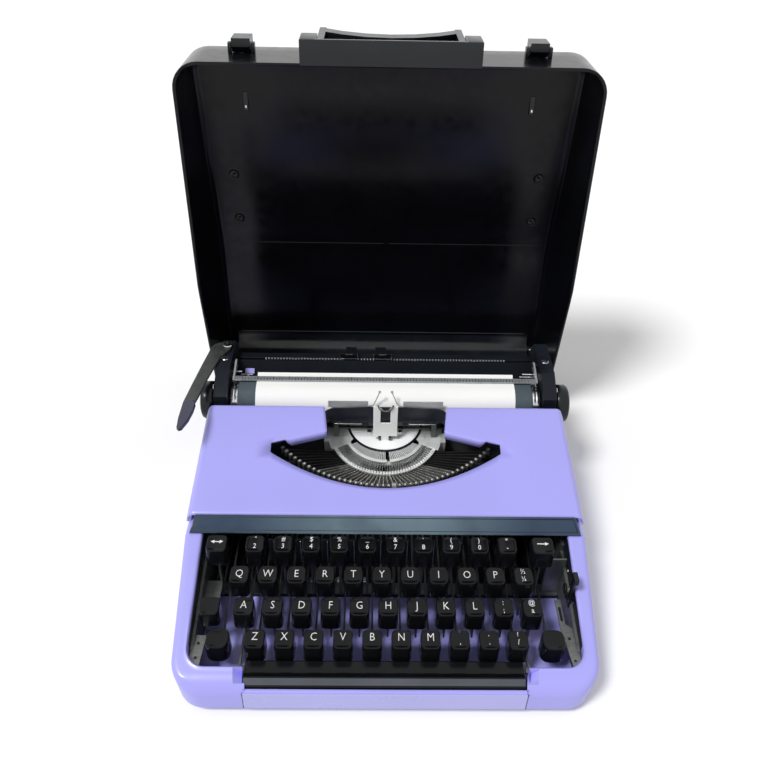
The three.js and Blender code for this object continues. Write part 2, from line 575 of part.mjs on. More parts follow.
function ribbonCover() {
  const c = cover;
  const half = c.topWidth / 2;
  const foot = base.sideHeight + gap;
  const behind = nameStrip.thickness + gap;
  const startY = nameStrip.topY + behind * Math.sin(stripSlope);
  const startZ = nameStrip.topZ - behind * Math.cos(stripSlope);
  const footY = startY - (startZ - foot) / Math.tan(stripSlope);
  const outer = outline([[footY, foot], [startY, startZ], [startY, coverZ(startY)], [c.rearY, c.rearZ],
    [c.rearY, foot]]);
  const lowerZ = (y) => coverZ(y) - c.skin;
  const innerY = startY + c.skin;
  const innerFootY = footY + c.skin / Math.sin(stripSlope);
  const inner = outline([[innerFootY - overrun / Math.tan(stripSlope), foot - overrun],
    [innerY, foot + (innerY - innerFootY) * Math.tan(stripSlope)], [innerY, lowerZ(innerY)],
    [c.rearY + overrun, lowerZ(c.rearY + overrun)], [c.rearY + overrun, foot - overrun]]);
  const shell = cut(sweepX(outer, -half, half), sweepX(inner, c.skin - half, half - c.skin));
  const opening = new THREE.Shape();
  opening.moveTo(-c.notchRear, c.rearY + overrun);
  opening.lineTo(-c.notchFront, c.notchY);
  opening.lineTo(-c.tipX, c.tipRearY);
  opening.lineTo(-c.tipX, c.tipFrontY);
  opening.quadraticCurveTo(0, c.arcY * 2 - c.tipFrontY, c.tipX, c.tipFrontY);
  opening.lineTo(c.tipX, c.tipRearY);
  opening.lineTo(c.notchFront, c.notchY);
  opening.lineTo(c.notchRear, c.rearY + overrun);
  return flare(cut(shell, sweepZ(opening, foot, c.rearZ + overrun)));
}

function nameStripPart() {
  const n = nameStrip;
  const foot = base.sideHeight + gap;
  const backY = n.thickness * Math.sin(stripSlope);
  const backZ = n.thickness * Math.cos(stripSlope);
  const lowY = n.topY + backY - (n.topZ - backZ - foot) / Math.tan(stripSlope);
  const profile = outline([[n.bottomY, foot], [n.bottomY, n.bottomZ], [n.topY, n.topZ],
    [n.topY + backY, n.topZ - backZ], [lowY, foot]]);
  return sweepX(profile, -n.width / 2, n.width / 2);
}

// Carriage
function platenRoller() {
  const p = platen;
  return union(rodX(p.radius, -p.halfLength, p.halfLength, p.y, p.z, roundSides),
    rodX(p.ringRadius, -p.ringHalf, p.ringHalf, p.y, p.z, roundSides),
    rodX(p.shaftRadius, -p.shaftHalf, p.shaftHalf, p.y, p.z));
}

function platenKnob(side) {
  const k = knob;
  const drum = new THREE.LatheGeometry([[0, 0], [k.radius, 0], [k.radius, k.outerX - k.innerX - k.edge],
    [k.radius - k.edge, k.outerX - k.innerX], [0, k.outerX - k.innerX]].map(
    ([r, h]) => new THREE.Vector2(r, h)), roundSides);
  const turned = side > 0 ? drum.rotateZ(-Math.PI / 2) : drum.rotateZ(Math.PI / 2);
  const body = toSolid(turned.translate(side * k.innerX, platen.y, platen.z));
  const end = side * (platen.shaftHalf + gap);
  const start = side * (k.innerX - overrun);
  return cut(body, rodX(boreRadius(platen.shaftRadius), Math.min(start, end), Math.max(start, end),
    platen.y, platen.z));
}

function carriageFrame() {
  const h = housing;
  const side = outline([[h.frontY, h.bottom], [h.rearY, h.bottom], [h.rearY, h.rearTop],
    [h.rearCrownY, h.top], [h.crownY, h.top], [h.frontY, h.frontTop]]);
  const bore = rodX(boreRadius(platen.shaftRadius), -h.outerX - overrun, h.outerX + overrun, platen.y,
    platen.z);
  const pinEnd = bail.halfWidth - bail.arm - gap;
  const pin = (from, to) => rodX(bail.pinRadius, from, to, bail.pivotY, bail.pivotZ);
  const leverPin = rodZ(lever.hubRadius / 3, lever.pivotX, lever.pivotY, h.top - lever.thickness,
    lever.z + lever.thickness);
  return union(
    cut(union(sweepX(side, -h.outerX, -h.innerX), sweepX(side, h.innerX, h.outerX)), bore),
    box(-h.outerX, h.outerX, frameBar.y, frameBar.y + frameBar.depth, frameBar.bottom,
      frameBar.bottom + frameBar.height), pin(-h.outerX, -pinEnd), pin(pinEnd, h.outerX), leverPin);
}

function carriageSlide() {
  const s = slide;
  const top = s.bottom + s.height;
  const post = (x) => box(x - s.postWidth / 2, x + s.postWidth / 2, s.postY, s.postY + s.postDepth, s.bottom,
    s.postTop);
  return union(box(-carriageHalf, carriageHalf, s.y, s.y + s.depth, s.bottom, top), post(-s.postX),
    post(s.postX));
}

function marginRailPart() {
  const m = marginRail;
  return box(-m.halfWidth, m.halfWidth, m.y, m.y + m.depth, m.bottom, m.bottom + m.height);
}

function marginStopPart(x) {
  const m = marginStop;
  const r = marginRail;
  const top = r.bottom + r.height;
  const half = m.width / 2;
  const block = box(x - half, x + half, r.y - gap - m.skirt, r.y + r.depth + gap + m.skirt, top - m.drop,
    top + gap + m.height);
  return cut(block, box(x - half - overrun, x + half + overrun, r.y - gap, r.y + r.depth + gap,
    top - m.drop - overrun, top + gap));
}

function paperTablePart() {
  const p = paperTable;
  const profile = outline([[p.frontY, p.frontZ], [p.frontY + p.thickness, p.frontZ],
    [p.rearY + p.thickness, p.rearZ], [p.rearY, p.rearZ]]);
  return sweepX(profile, -carriageHalf, carriageHalf);
}

function paperBail() {
  const b = bail;
  const bar = box(-b.halfWidth, b.halfWidth, b.barY - b.barDepth / 2, b.barY + b.barDepth / 2, b.barZ,
    b.barZ + b.bar);
  const armShape = outline([[b.barY - b.barDepth / 2, b.barZ], [b.barY + b.barDepth / 2, b.barZ],
    [b.pivotY, b.pivotZ - b.bossRadius], [b.pivotY, b.pivotZ + b.bossRadius],
    [b.barY - b.barDepth / 2, b.barZ + b.bar]]);
  const arm = (from, to) => union(sweepX(armShape, from, to),
    rodX(b.bossRadius, from, to, b.pivotY, b.pivotZ));
  const arms = union(arm(-b.halfWidth, b.arm - b.halfWidth), arm(b.halfWidth - b.arm, b.halfWidth));
  return cut(union(bar, arms), rodX(boreRadius(b.pinRadius), -b.halfWidth - overrun,
    b.halfWidth + overrun, b.pivotY, b.pivotZ));
}

function returnLever() {
  const l = lever;
  const line = [[l.pivotX, l.pivotY], ...l.points, l.tipStart];
  const left = line.map(([x, y]) => [x - l.halfWidth, y]);
  const right = line.map(([x, y]) => [x + l.halfWidth, y]).reverse();
  const tip = outline([[l.tipStart[0] - l.tipHalf, l.tipStart[1]], [l.tipEnd[0] - l.tipHalf, l.tipEnd[1]],
    [l.tipEnd[0] + l.halfWidth, l.tipEnd[1]], [l.tipStart[0] + l.tipHalf, l.tipStart[1]],
    l.points[2]]);
  const to = l.z + l.thickness;
  const blade = union(sweepZ(outline([...left, ...right]), l.z, to), sweepZ(tip, l.z, to),
    rodZ(l.hubRadius, l.pivotX, l.pivotY, l.z, to));
  return cut(blade, rodZ(boreRadius(l.hubRadius / 3), l.pivotX, l.pivotY, l.z - overrun, to + overrun));
}

// Lid, drawn lying on its crown: y from the hinge to the front wall, z up to the rim at zero
const lidGroup = new THREE.Group();
lidGroup.position.set(0, hinge.y, hinge.z);
lidGroup.rotation.x = THREE.MathUtils.degToRad(90 - hinge.lean);
machine.add(lidGroup);

function lidSide(inset) {
  const l = lid;
  const rear = -l.behind + inset;
  const front = l.length - inset;
  const rim = inset > 0 ? overrun : 0; // the hollow's rim is cut through
  return outline([[front, rim], [l.rimBend, rim], [0, rim - l.rimRise], [rear, rim - l.rimRise],
    [rear, l.edge - l.rearDepth],
    [rear + l.edge, inset - l.rearDepth], [l.slopeStart, inset - l.slopeDepth],
    [front - l.edge, inset - l.frontDepth], [front, inset + l.edge - l.frontDepth]]);
}

function lidShell() {
  const l = lid;
  const half = l.width / 2;
  const block = (inset) => sweepX(lidSide(inset), inset - half, half - inset).intersect(
    sweepZ(roundedPlan(half - inset, inset - l.behind, l.length - inset, l.rearRadius - inset,
      l.frontRadius - inset), -l.rearDepth - overrun, overrun));
  const under = l.length - l.wall;
  const pad = box(-l.padHalf, l.padHalf, under, l.length + l.pad, -l.padDepth, l.panelFront);
  const panel = box(-l.padHalf, l.padHalf, under, l.length + l.panelHeight, -l.panelBack, l.panelFront);
  const pinBore = rodX(boreRadius(handle.pinRadius), -l.padHalf + gap, l.padHalf - gap,
    l.length + handle.pivotOut, -handle.pivotDepth);
  const cheek = (from, to) => box(from, to, under, l.length + l.panelHeight, -l.padDepth, l.panelFront);
  const cheeks = cut(union(cheek(-l.padHalf, l.cheek - l.padHalf), cheek(l.padHalf - l.cheek, l.padHalf)),
    pinBore);
  return union(cut(block(0), block(l.wall)), pad, panel, cheeks, ...lidEars(), ...latchLugs());
}

function lidEars() {
  const e = hinge;
  return [-e.earSpan, e.earSpan].map((x) => {
    const from = x - e.earWidth / 2;
    const to = x + e.earWidth / 2;
    const neck = box(from, to, -lid.behind, e.earRadius, -lid.rimRise - lid.wall * 2, 0);
    return cut(union(neck, rodX(e.earRadius, from, to, 0, 0)),
      rodX(boreRadius(e.rodRadius), from - overrun, to + overrun, 0, 0));
  });
}

function latchLugs() {
  const l = latch;
  const lugs = [];
  for (const x of [-latchX, latchX]) {
    for (const side of [-1, 1]) {
      const near = x + side * (l.width / 2 + l.lugGap);
      const far = near + side * l.lug;
      lugs.push(box(Math.min(near, far), Math.max(near, far), lid.length - lid.wall,
        lid.length + l.lugHeight, -l.pivotDepth - l.lugDepth / 2, -l.pivotDepth + l.lugDepth / 2));
    }
    lugs.push(rodX(l.pinRadius, x - l.width / 2 - l.lug, x + l.width / 2 + l.lug,
      lid.length + l.pivotOut, -l.pivotDepth));
  }
  return lugs;
}

function latchPart(x) {
  const l = latch;
  const from = x - l.width / 2;
  const to = x + l.width / 2;
  const bottom = lid.length + gap;
  const top = bottom + l.height;
  const pinY = lid.length + l.pivotOut;
  const nose = pinY - bottom;
  const body = sweepX(outline([[bottom, -l.pivotDepth], [pinY, nose - l.pivotDepth],
    [top, nose - l.pivotDepth], [top, -l.pivotDepth - l.depth], [bottom, -l.pivotDepth - l.depth]]),
  from, to);
  return cut(body, rodX(boreRadius(l.pinRadius), from - overrun, to + overrun, pinY, -l.pivotDepth));
}

function lidHandle() {
  const h = handle;
  const outer = h.halfSpan;
  const inner = outer - h.arm;
  const pivotY = lid.length + h.pivotOut;
  const bottom = pivotY - h.thickness / 2;
  const top = pivotY + h.thickness / 2;
  const far = -h.pivotDepth - h.armLength;
  const arm = (from, to) => union(box(from, to, bottom, top, far, -h.pivotDepth),
    rodX(h.thickness / 2, from, to, pivotY, -h.pivotDepth));
  const gripShape = new THREE.Shape();
  gripShape.moveTo(-outer, far);
  gripShape.quadraticCurveTo(0, far + h.sag * 2, outer, far);
  gripShape.lineTo(outer, far + h.grip);
  gripShape.quadraticCurveTo(0, far + h.grip + h.sag * 2, -outer, far + h.grip);
  const grip = place(extrude(gripShape, -top, -bottom), alongX, alongZ, alongY.clone().negate());
  const reach = outer + lid.cheek / 2;
  const pin = (from, to) => rodX(h.pinRadius, from, to, pivotY, -h.pivotDepth);
  return union(arm(-outer, -inner), arm(inner, outer), grip, pin(-reach, -inner), pin(inner, reach));
}

function hingeRod() {
  return rodX(hinge.rodRadius, -hinge.rodHalf, hinge.rodHalf, hinge.y, hinge.z);
}

// The whole machine
addPart('base_pan', basePan(), paint);
addPart('chassis', chassisFrame(), greySteel);
addPart('segment', segmentPart(), nickel, basket);
addPart('type_bars', typeBars(), nickel, basket);
addPart('type_bar_h', aim(typeBarSolid(true), typeBar.hIndex), nickel, basket);
addPart('ribbon_vibrator', ribbonVibrator(), nickel);
addPart('ink_ribbon', inkRibbon(), ribbonCloth);
addPart('spool_left', ribbonSpool(-spool.x), blackMetal);
addPart('spool_right', ribbonSpool(spool.x), blackMetal);
addPart('ribbon_cover', ribbonCover(), paint);
addPart('name_strip', nameStripPart(), smokedPlate);
addPart('carriage_slide', carriageSlide(), greySteel);
addPart('carriage_frame', carriageFrame(), blackPlastic);
addPart('platen', platenRoller(), platenRubber);
addPart('knob_left', platenKnob(-1), blackPlastic);
addPart('knob_right', platenKnob(1), blackPlastic);
addPart('paper_bail', paperBail(), nickel);
addPart('paper_table', paperTablePart(), blackMetal);
addPart('margin_rail', marginRailPart(), blackMetal);
addPart('margin_stop_left', marginStopPart(marginStop.leftX), blackPlastic);
addPart('margin_stop_right', marginStopPart(marginStop.rightX), blackPlastic);
addPart('return_lever', returnLever(), leverGrey);
addPart('lid_shell', lidShell(), blackPlastic, lidGroup);
addPart('lid_handle', lidHandle(), blackPlastic, lidGroup);
addPart('latch_left', latchPart(-latchX), blackPlastic, lidGroup);
addPart('latch_right', latchPart(latchX), blackPlastic, lidGroup);
addPart('hinge_rod', hingeRod(), greySteel);
addPart('space_bar', spaceBarPart(), blackPlastic);
addPart('shift_keys', shiftKeys(), blackPlastic);
addPart('shift_lock_key', key(controlKeys.lockX, 1, controlKeys.lockLaneX, keys.capSize, keys.capSize,
  controlKeys.lockCapHeight), blackPlastic);
addPart('margin_release_key', key(controlKeys.marginX, 3, controlKeys.marginX, controlKeys.marginCap),
  blackPlastic);
addPart('backspace_key', key(controlKeys.backspaceX, 3, controlKeys.backspaceX, keys.wideCap), blackPlastic);
addPart('ribbon_selector', ribbonSelector(), blackPlastic);
addPart('figure_and_mark_keys', figureAndMarkKeys(), blackPlastic);
addLetterKeys();

machine.position.set(0, -base.depth / 2, -base.footHeight);
machine.updateMatrixWorld(true);

export default machine;
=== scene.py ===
"""A portable typewriter with its carrying-case lid open: surfaces, finishes, light and camera.

Lengths are millimetres: x to the typist's right, y from the base's front edge, z from the table.
Points in the lid are (x, up from the hinge, depth towards the open side).
"""
import math

import bmesh
import bpy
import numpy as np
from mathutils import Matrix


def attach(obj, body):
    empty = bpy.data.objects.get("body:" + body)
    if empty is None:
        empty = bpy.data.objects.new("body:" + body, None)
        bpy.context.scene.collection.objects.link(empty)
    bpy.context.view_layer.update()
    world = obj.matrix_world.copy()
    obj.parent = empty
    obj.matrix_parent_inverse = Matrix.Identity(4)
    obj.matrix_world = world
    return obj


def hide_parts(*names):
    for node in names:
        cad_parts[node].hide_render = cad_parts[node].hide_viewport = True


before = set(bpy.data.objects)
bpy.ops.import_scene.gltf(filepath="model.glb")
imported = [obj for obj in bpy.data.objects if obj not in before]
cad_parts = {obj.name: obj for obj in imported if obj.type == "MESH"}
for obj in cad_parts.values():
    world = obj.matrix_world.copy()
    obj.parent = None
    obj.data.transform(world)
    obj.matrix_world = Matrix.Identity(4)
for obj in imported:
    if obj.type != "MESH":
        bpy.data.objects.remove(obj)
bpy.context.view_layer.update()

METRES = 0.001
BASE_MIDDLE = np.array([0.0, 142.0, 6.0])
LID_HINGE = (292.0, 30.0)
LID_TILT = math.radians(90 - 3.2)
BASKET = (217.2, 49.3)
BASKET_TILT = math.radians(8.3)
FACE_CENTRE = 10.8
KEY_PITCH = 19.5
ROW_PITCH, ROW_RISE = 18.5, 10.07
FIRST_ROW_Y, FIRST_ROW_TOP = 29.1, 41.9
SHAFT = (200.0, 26.0)
ROW_STARTS = (-4.48, -4.93, -5.16, -4.68)
BASE_TOP = 61.7
PLATEN = (229.0, 82.1)
CHARACTER = 2.54
SIDES = (-1, 1)


# Places
def as_drawn(points):
    """Machine points stay where they are drawn."""
    return points


def in_lid(points):
    """Turns lid points about the hinge: y = hinge + s cos a - d sin a, z = hinge + s sin a + d cos a."""
    x, s, d = points[..., 0], points[..., 1], points[..., 2]
    c, n = math.cos(LID_TILT), math.sin(LID_TILT)
    return np.stack([x, LID_HINGE[0] + s * c - d * n, LID_HINGE[1] + s * n + d * c], axis=-1)


def in_basket(points):
    """Tips basket points about the pivot circle's centre, as the lid's are about its hinge."""
    x, y, z = points[..., 0], points[..., 1], points[..., 2]
    c, n = math.cos(BASKET_TILT), math.sin(BASKET_TILT)
    return np.stack([x, BASKET[0] + y * c - z * n, BASKET[1] + y * n + z * c], axis=-1)


# Surfaces, each given as its points and its faces
def quads(points, closed=False):
    """Quads over a grid of points, joining rows i, i + 1 and columns j, j + 1; closed joins last to first."""
    rows, columns = points.shape[:2]
    index = np.arange(rows * columns).reshape(rows, columns)
    if closed:
        index = np.concatenate([index, index[:, :1]], axis=1)
    faces = np.stack([index[:-1, :-1], index[1:, :-1], index[1:, 1:], index[:-1, 1:]], axis=-1)
    return points.reshape(-1, 3), faces.reshape(-1, 4).tolist()


def solid(points):
    """The same grid closed round its columns, with one face over the first row and one over the last."""
    rows, columns = points.shape[:2]
    flat, faces = quads(points, closed=True)
    last = range((rows - 1) * columns, rows * columns)
    return flat, faces + [list(range(columns)), list(last)[::-1]]


def rounded_loop(half_a, half_b, radius, steps=4):
    """Corner arcs: corner centre + radius (cos t, sin t), with t through a quarter turn at each corner."""
    t = np.arange(4)[:, None] * np.pi / 2 + np.linspace(0, np.pi / 2, steps + 1)[None, :]
    a = np.array([1, -1, -1, 1])[:, None] * (half_a - radius) + radius * np.cos(t)
    b = np.array([1, 1, -1, -1])[:, None] * (half_b - radius) + radius * np.sin(t)
    return np.stack([a.ravel(), b.ravel()], axis=-1)


def close_loop(half_a, half_b, radius):
    """The same loop with five evenly spaced points along each of its straight sides too."""
    corners = rounded_loop(half_a, half_b, radius).reshape(4, -1, 2)
    following = np.roll(corners[:, :1], -1, axis=0)
    share = np.linspace(0, 1, 7)[None, 1:-1, None]
    between = corners[:, -1:] + (following - corners[:, -1:]) * share
    return np.concatenate([corners, between], axis=1).reshape(-1, 2)


def turn_axes(a, b, c, axis):
    """Puts the stacked direction c along x, y or z."""
    order = {0: (c, a, b), 1: (b, c, a), 2: (a, b, c)}[axis]
    return np.stack(np.broadcast_arrays(*order), axis=-1)


def block(low, high, corner=1.0, edge=0.5, axis=2, steps=4):
    """Rounded loops stacked along an axis, drawn in by edge (1 - sin t) near each end."""
    low, high = np.array(low, float), np.array(high, float)
    middle, half = (low + high) / 2, (high - low) / 2
    one, two = ((axis + 1) % 3, (axis + 2) % 3)
    t = np.linspace(0, np.pi / 2, 4)
    inset = np.concatenate([edge * (1 - np.sin(t)), edge * (1 - np.cos(t))])
    level = np.concatenate([-half[axis] + edge * (1 - np.cos(t)), half[axis] - edge * (1 - np.sin(t))])
    loops = np.stack([rounded_loop(half[one] - d, half[two] - d, max(corner - d, 0.05), steps) for d in inset])
    return solid(turn_axes(loops[..., 0], loops[..., 1], level[:, None], axis) + middle)


def prism(outline, start, stop, axis=0):
    """A flat outline carried straight along an axis, closed at both ends."""
    outline = np.array(outline, float)
    level = np.array([start, stop], float)[:, None]
    return solid(turn_axes(outline[None, :, 0], outline[None, :, 1], level, axis))


def tube(path, radius, sides=12, up=(0.0, 0.0, 1.0)):
    """A circle carried along a path: path + radius (cos t side + sin t lift)."""
    path = np.array(path, float)
    along = np.gradient(path, axis=0)
    along /= np.linalg.norm(along, axis=1, keepdims=True)
    side = np.cross(along, up)
    side /= np.linalg.norm(side, axis=1, keepdims=True)
    lift = np.cross(side, along)
    t = np.linspace(0, 2 * np.pi, sides, endpoint=False)[None, :, None]
    ring = np.cos(t) * side[:, None] + np.sin(t) * lift[:, None]
    return solid(path[:, None] + radius * ring)


def turned(profile, centre, axis=0, sides=48, flutes=0, flute_depth=0.0):
    """A profile of (distance, radius) turned about an axis, the radius drawn in by depth (1 - cos nt) / 2."""
    profile = np.array(profile, float)
    t = np.linspace(0, 2 * np.pi, sides, endpoint=False)
    wave = 1 - flute_depth * (1 - np.cos(flutes * t)) / 2
    a = profile[:, 1:] * np.cos(t) * wave
    b = profile[:, 1:] * np.sin(t) * wave
    return solid(turn_axes(a, b, profile[:, :1], axis) + np.array(centre, float))


def curve(points, samples):
    """A smooth line through points: cubic Hermite pieces with slopes from each point's neighbours."""
    points = np.array(points, float)
    slope = np.gradient(points, axis=0)
    place = np.linspace(0, len(points) - 1, samples)
    i = np.minimum(place.astype(int), len(points) - 2)
    t = (place - i)[:, None]
    return ((2 * t**3 - 3 * t**2 + 1) * points[i] + (t**3 - 2 * t**2 + t) * slope[i]
            + (3 * t**2 - 2 * t**3) * points[i + 1] + (t**3 - t**2) * slope[i + 1])


# Pieces
def dress(mesh, material, angle):
    """Gives a mesh its one material, smooth where its faces meet at less than the angle in degrees."""
    mesh.materials.clear()
    mesh.materials.append(material)
    mesh.shade_smooth()
    mesh.set_sharp_from_angle(angle=math.radians(angle))


def add_piece(name, mesh, body, bevel, stands_for):
    """A piece on its body, with its edges rounded to a width in millimetres where that isn't nought."""
    piece = bpy.data.objects.new(name, mesh)
    bpy.context.collection.objects.link(piece)
    if bevel:
        rounding = piece.modifiers.new("Rounded edges", "BEVEL")
        rounding.width = bevel * METRES
        rounding.segments = 3
        rounding.limit_method = "ANGLE"
        rounding.angle_limit = math.radians(32)
        rounding.harden_normals = True
    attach(piece, body)
    if stands_for:
        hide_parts(*stands_for)
    return piece


def make(name, surfaces, material, body, bevel=0.0, angle=35, stands_for=(), place=as_drawn):
    """Joins surfaces into one piece with its place in its mesh."""
    points, faces, start = [], [], 0
    for some_points, some_faces in surfaces:
        points.append(some_points)
        faces += [[i + start for i in face] for face in some_faces]
        start += len(some_points)
    placed = (place(np.concatenate(points)) - BASE_MIDDLE) * METRES
    mesh = bpy.data.meshes.new(name)
    mesh.from_pydata(placed.tolist(), [], faces)
    tidy = bmesh.new()
    tidy.from_mesh(mesh)
    bmesh.ops.remove_doubles(tidy, verts=tidy.verts, dist=1e-6)
    bmesh.ops.recalc_face_normals(tidy, faces=tidy.faces)
    tidy.to_mesh(mesh)
    tidy.free()
    dress(mesh, material, angle)
    return add_piece(name, mesh, body, bevel, stands_for)


def softened(node, material, body, bevel=0.4):
    """A copy of a solid with its flats merged and its edges rounded."""
    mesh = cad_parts[node].data.copy()
    tidy = bmesh.new()
    tidy.from_mesh(mesh)
    bmesh.ops.remove_doubles(tidy, verts=tidy.verts, dist=2e-6)
    bmesh.ops.dissolve_limit(tidy, angle_limit=math.radians(1.5), verts=tidy.verts, edges=tidy.edges)
    tidy.to_mesh(mesh)
    tidy.free()
    dress(mesh, material, 40)
    return add_piece(f"{node}_rounded", mesh, body, bevel, (node,))


# Finishes
class Finish:
    """A Principled material whose colour, gloss and relief come from noise on object coordinates."""

    def __init__(self, name, colour, roughness, metallic=0.0, coat=0.0, shine=0.5):
        self.material = bpy.data.materials.new(name)
        self.material.use_nodes = True
        self.nodes = self.material.node_tree.nodes
        self.links = self.material.node_tree.links
        self.shader = self.nodes["Principled BSDF"]
        self.colour = colour
        for socket, value in (("Base Color", (*colour, 1)), ("Roughness", roughness), ("Metallic", metallic),
                              ("Specular IOR Level", shine), ("Coat Weight", coat), ("Coat Roughness", 0.08)):
            self.shader.inputs[socket].default_value = value
        self.place = self.nodes.new("ShaderNodeTexCoord")
        self.height = None

    def noise(self, scale, detail=3.0, stretch=(1, 1, 1)):
        mapping = self.nodes.new("ShaderNodeMapping")
        mapping.inputs["Scale"].default_value = stretch
        self.links.new(self.place.outputs["Object"], mapping.inputs["Vector"])
        texture = self.nodes.new("ShaderNodeTexNoise")
        texture.inputs["Scale"].default_value = scale
        texture.inputs["Detail"].default_value = detail
        self.links.new(mapping.outputs["Vector"], texture.inputs["Vector"])
        return texture.outputs["Fac"]

    def level(self):
        """Height above the base's underside, in metres."""
        parts = self.nodes.new("ShaderNodeSeparateXYZ")
        self.links.new(self.place.outputs["Object"], parts.inputs["Vector"])
        return parts.outputs["Z"]

    def across(self):
        """Distance from the middle of the machine's length, in metres."""
        apart = self.nodes.new("ShaderNodeSeparateXYZ")
        size = self.nodes.new("ShaderNodeMath")
        size.operation = "ABSOLUTE"
        self.links.new(self.place.outputs["Object"], apart.inputs["Vector"])
        self.links.new(apart.outputs["X"], size.inputs[0])
        return size.outputs[0]

    def spread(self, value, low, high, start=0.3, stop=0.7):
        ranged = self.nodes.new("ShaderNodeMapRange")
        for socket, bound in (("From Min", start), ("From Max", stop), ("To Min", low), ("To Max", high)):
            ranged.inputs[socket].default_value = bound
        self.links.new(value, ranged.inputs["Value"])
        return ranged.outputs["Result"]

    def tint(self, value, other, start=0.3, stop=0.7):
        """Colour moves from what is set so far towards another as the value rises."""
        mix = self.nodes.new("ShaderNodeMix")
        mix.data_type = "RGBA"
        so_far = self.shader.inputs["Base Color"]
        if so_far.is_linked:
            self.links.new(so_far.links[0].from_socket, mix.inputs["A"])
        else:
            mix.inputs["A"].default_value = (*self.colour, 1)
        mix.inputs["B"].default_value = (*other, 1)
        self.links.new(self.spread(value, 0, 1, start, stop), mix.inputs["Factor"])
        self.links.new(mix.outputs["Result"], so_far)
        return self

    def gloss(self, value, low, high):
        self.links.new(self.spread(value, low, high), self.shader.inputs["Roughness"])
        return self

    def relief(self, value, strength):
        bump = self.nodes.new("ShaderNodeBump")
        bump.inputs["Strength"].default_value = strength
        bump.inputs["Distance"].default_value = 0.0002
        self.links.new(value, bump.inputs["Height"])
        if self.height is not None:
            self.links.new(self.height, bump.inputs["Normal"])
        self.height = bump.outputs["Normal"]
        self.links.new(self.height, self.shader.inputs["Normal"])
        return self


def shade(colour, share):
    """The colour times a share, no channel above one."""
    return tuple(min(1.0, c * share) for c in colour)


def painted(name, colour, roughness=0.34):
    """Sprayed enamel: faint orange peel and slow drift in colour."""
    f = Finish(name, colour, roughness, coat=0.3)
    f.tint(f.noise(14, 2), shade(colour, 0.95))
    f.gloss(f.noise(60, 3), roughness - 0.05, roughness + 0.06)
    f.relief(f.noise(900, 2), 0.05)
    return f.material


def moulded(name, colour, roughness, grain=1500, depth=0.08, lighter=1.5, coat=0.0, shine=0.25):
    """Moulded plastic: fine grain, handling marks that change the gloss."""
    f = Finish(name, colour, roughness, coat=coat, shine=shine)
    f.tint(f.noise(35, 4), shade(colour, lighter))
    f.gloss(f.noise(120, 4), roughness * 0.75, min(1.0, roughness * 1.3))
    f.relief(f.noise(grain, 2), depth)
    return f.material


def metal(name, colour, roughness, stretch=(1, 1, 1), depth=0.05, darker=0.7, metallic=1.0):
    """Worked metal: streaks along the grain and cloudy tarnish."""
    f = Finish(name, colour, roughness, metallic=metallic)
    f.tint(f.noise(80, 4, stretch), shade(colour, darker), 0.35, 0.75)
    f.gloss(f.noise(260, 3, stretch), roughness * 0.75, min(1.0, roughness * 1.4))
    f.relief(f.noise(900, 2, stretch), depth)
    return f.material


def frame_steel():
    """Frame plates: black pan below, dull zinc above, and the clear card holders at the very top."""
    f = Finish("Frame steel", (0.012, 0.012, 0.014), 0.45, metallic=0.6)
    f.tint(f.level(), (0.13, 0.14, 0.135), 0.0055, 0.0062)
    f.tint(f.noise(80, 4, (1, 4, 1)), (0.03, 0.03, 0.03), 0.5, 0.95)
    f.tint(f.level(), (0.62, 0.64, 0.65), 0.0835, 0.0845)
    f.gloss(f.noise(260, 3), 0.34, 0.6)
    f.relief(f.noise(900, 2, (1, 4, 1)), 0.05)
    return f.material


def smoked_plate_painted_reflection():
    """Smoked name plate under a hard gloss: navy towards both ends, with paler slate in the middle of its length
    painted on as a reflection.
    """
    # The pale slate base colour is a painted reflection in the middle of the plate; the tint below brings back the
    # plate's own navy towards its ends.
    f = Finish("Smoked plate with painted reflection", (0.115, 0.175, 0.215), 0.12, coat=0.2, shine=0.3)
    f.tint(f.across(), (0.018, 0.042, 0.085), 0.03, 0.105)
    f.tint(f.noise(30, 3), (0.03, 0.05, 0.08), 0.45, 0.95)
    f.gloss(f.noise(120, 4), 0.09, 0.16)
    f.relief(f.noise(500, 2), 0.02)
    return f.material


LAVENDER = (0.395, 0.383, 0.90)
lavender_paint = painted("Lavender enamel", LAVENDER)
strip_paint = painted("Front strip enamel", (0.46, 0.455, 0.86), 0.3)
key_black = moulded("Key black gloss", (0.0035, 0.0037, 0.0045), 0.13, 700, 0.03, 1.8, 0.0, 0.2)
# Slate lighter than the keys' black: a painted highlight along the space bar's ridge.
ridge_painted_highlight = moulded("Ridge gloss with painted highlight", (0.055, 0.06, 0.075), 0.2, 900, 0.03, 1.4, 0.0, 0.4)
# Near-black steel for the outer type bars: painted shade where they run under the ribbon cover.
shaded_blade_steel = metal("Blade steel with painted shade", (0.02, 0.02, 0.02), 0.5, metallic=0.4)
table_black = moulded("Paper table black", (0.004, 0.006, 0.009), 0.5, 1200, 0.05, 1.5, 0.0, 0.06)
trim_black = moulded("Trim black gloss", (0.005, 0.006, 0.008), 0.24, 900, 0.05, 1.5, 0.0, 0.3)
smoked_gloss_painted_reflection = smoked_plate_painted_reflection()
plate_line = moulded("Plate line", (0.004, 0.006, 0.012), 0.3, 900, 0.02, 1.4)
lid_black = moulded("Lid black", (0.0028, 0.003, 0.0042), 0.17, 1500, 0.05, 1.6, 0.0, 0.24)
lid_gloss = moulded("Lid gloss black", (0.006, 0.007, 0.009), 0.2, 900, 0.05, 1.6, 0.0, 0.4)
housing_black = moulded("Housing black enamel", (0.006, 0.008, 0.012), 0.42, 1100, 0.06, 1.6, 0.0, 0.14)
chassis_steel = frame_steel()
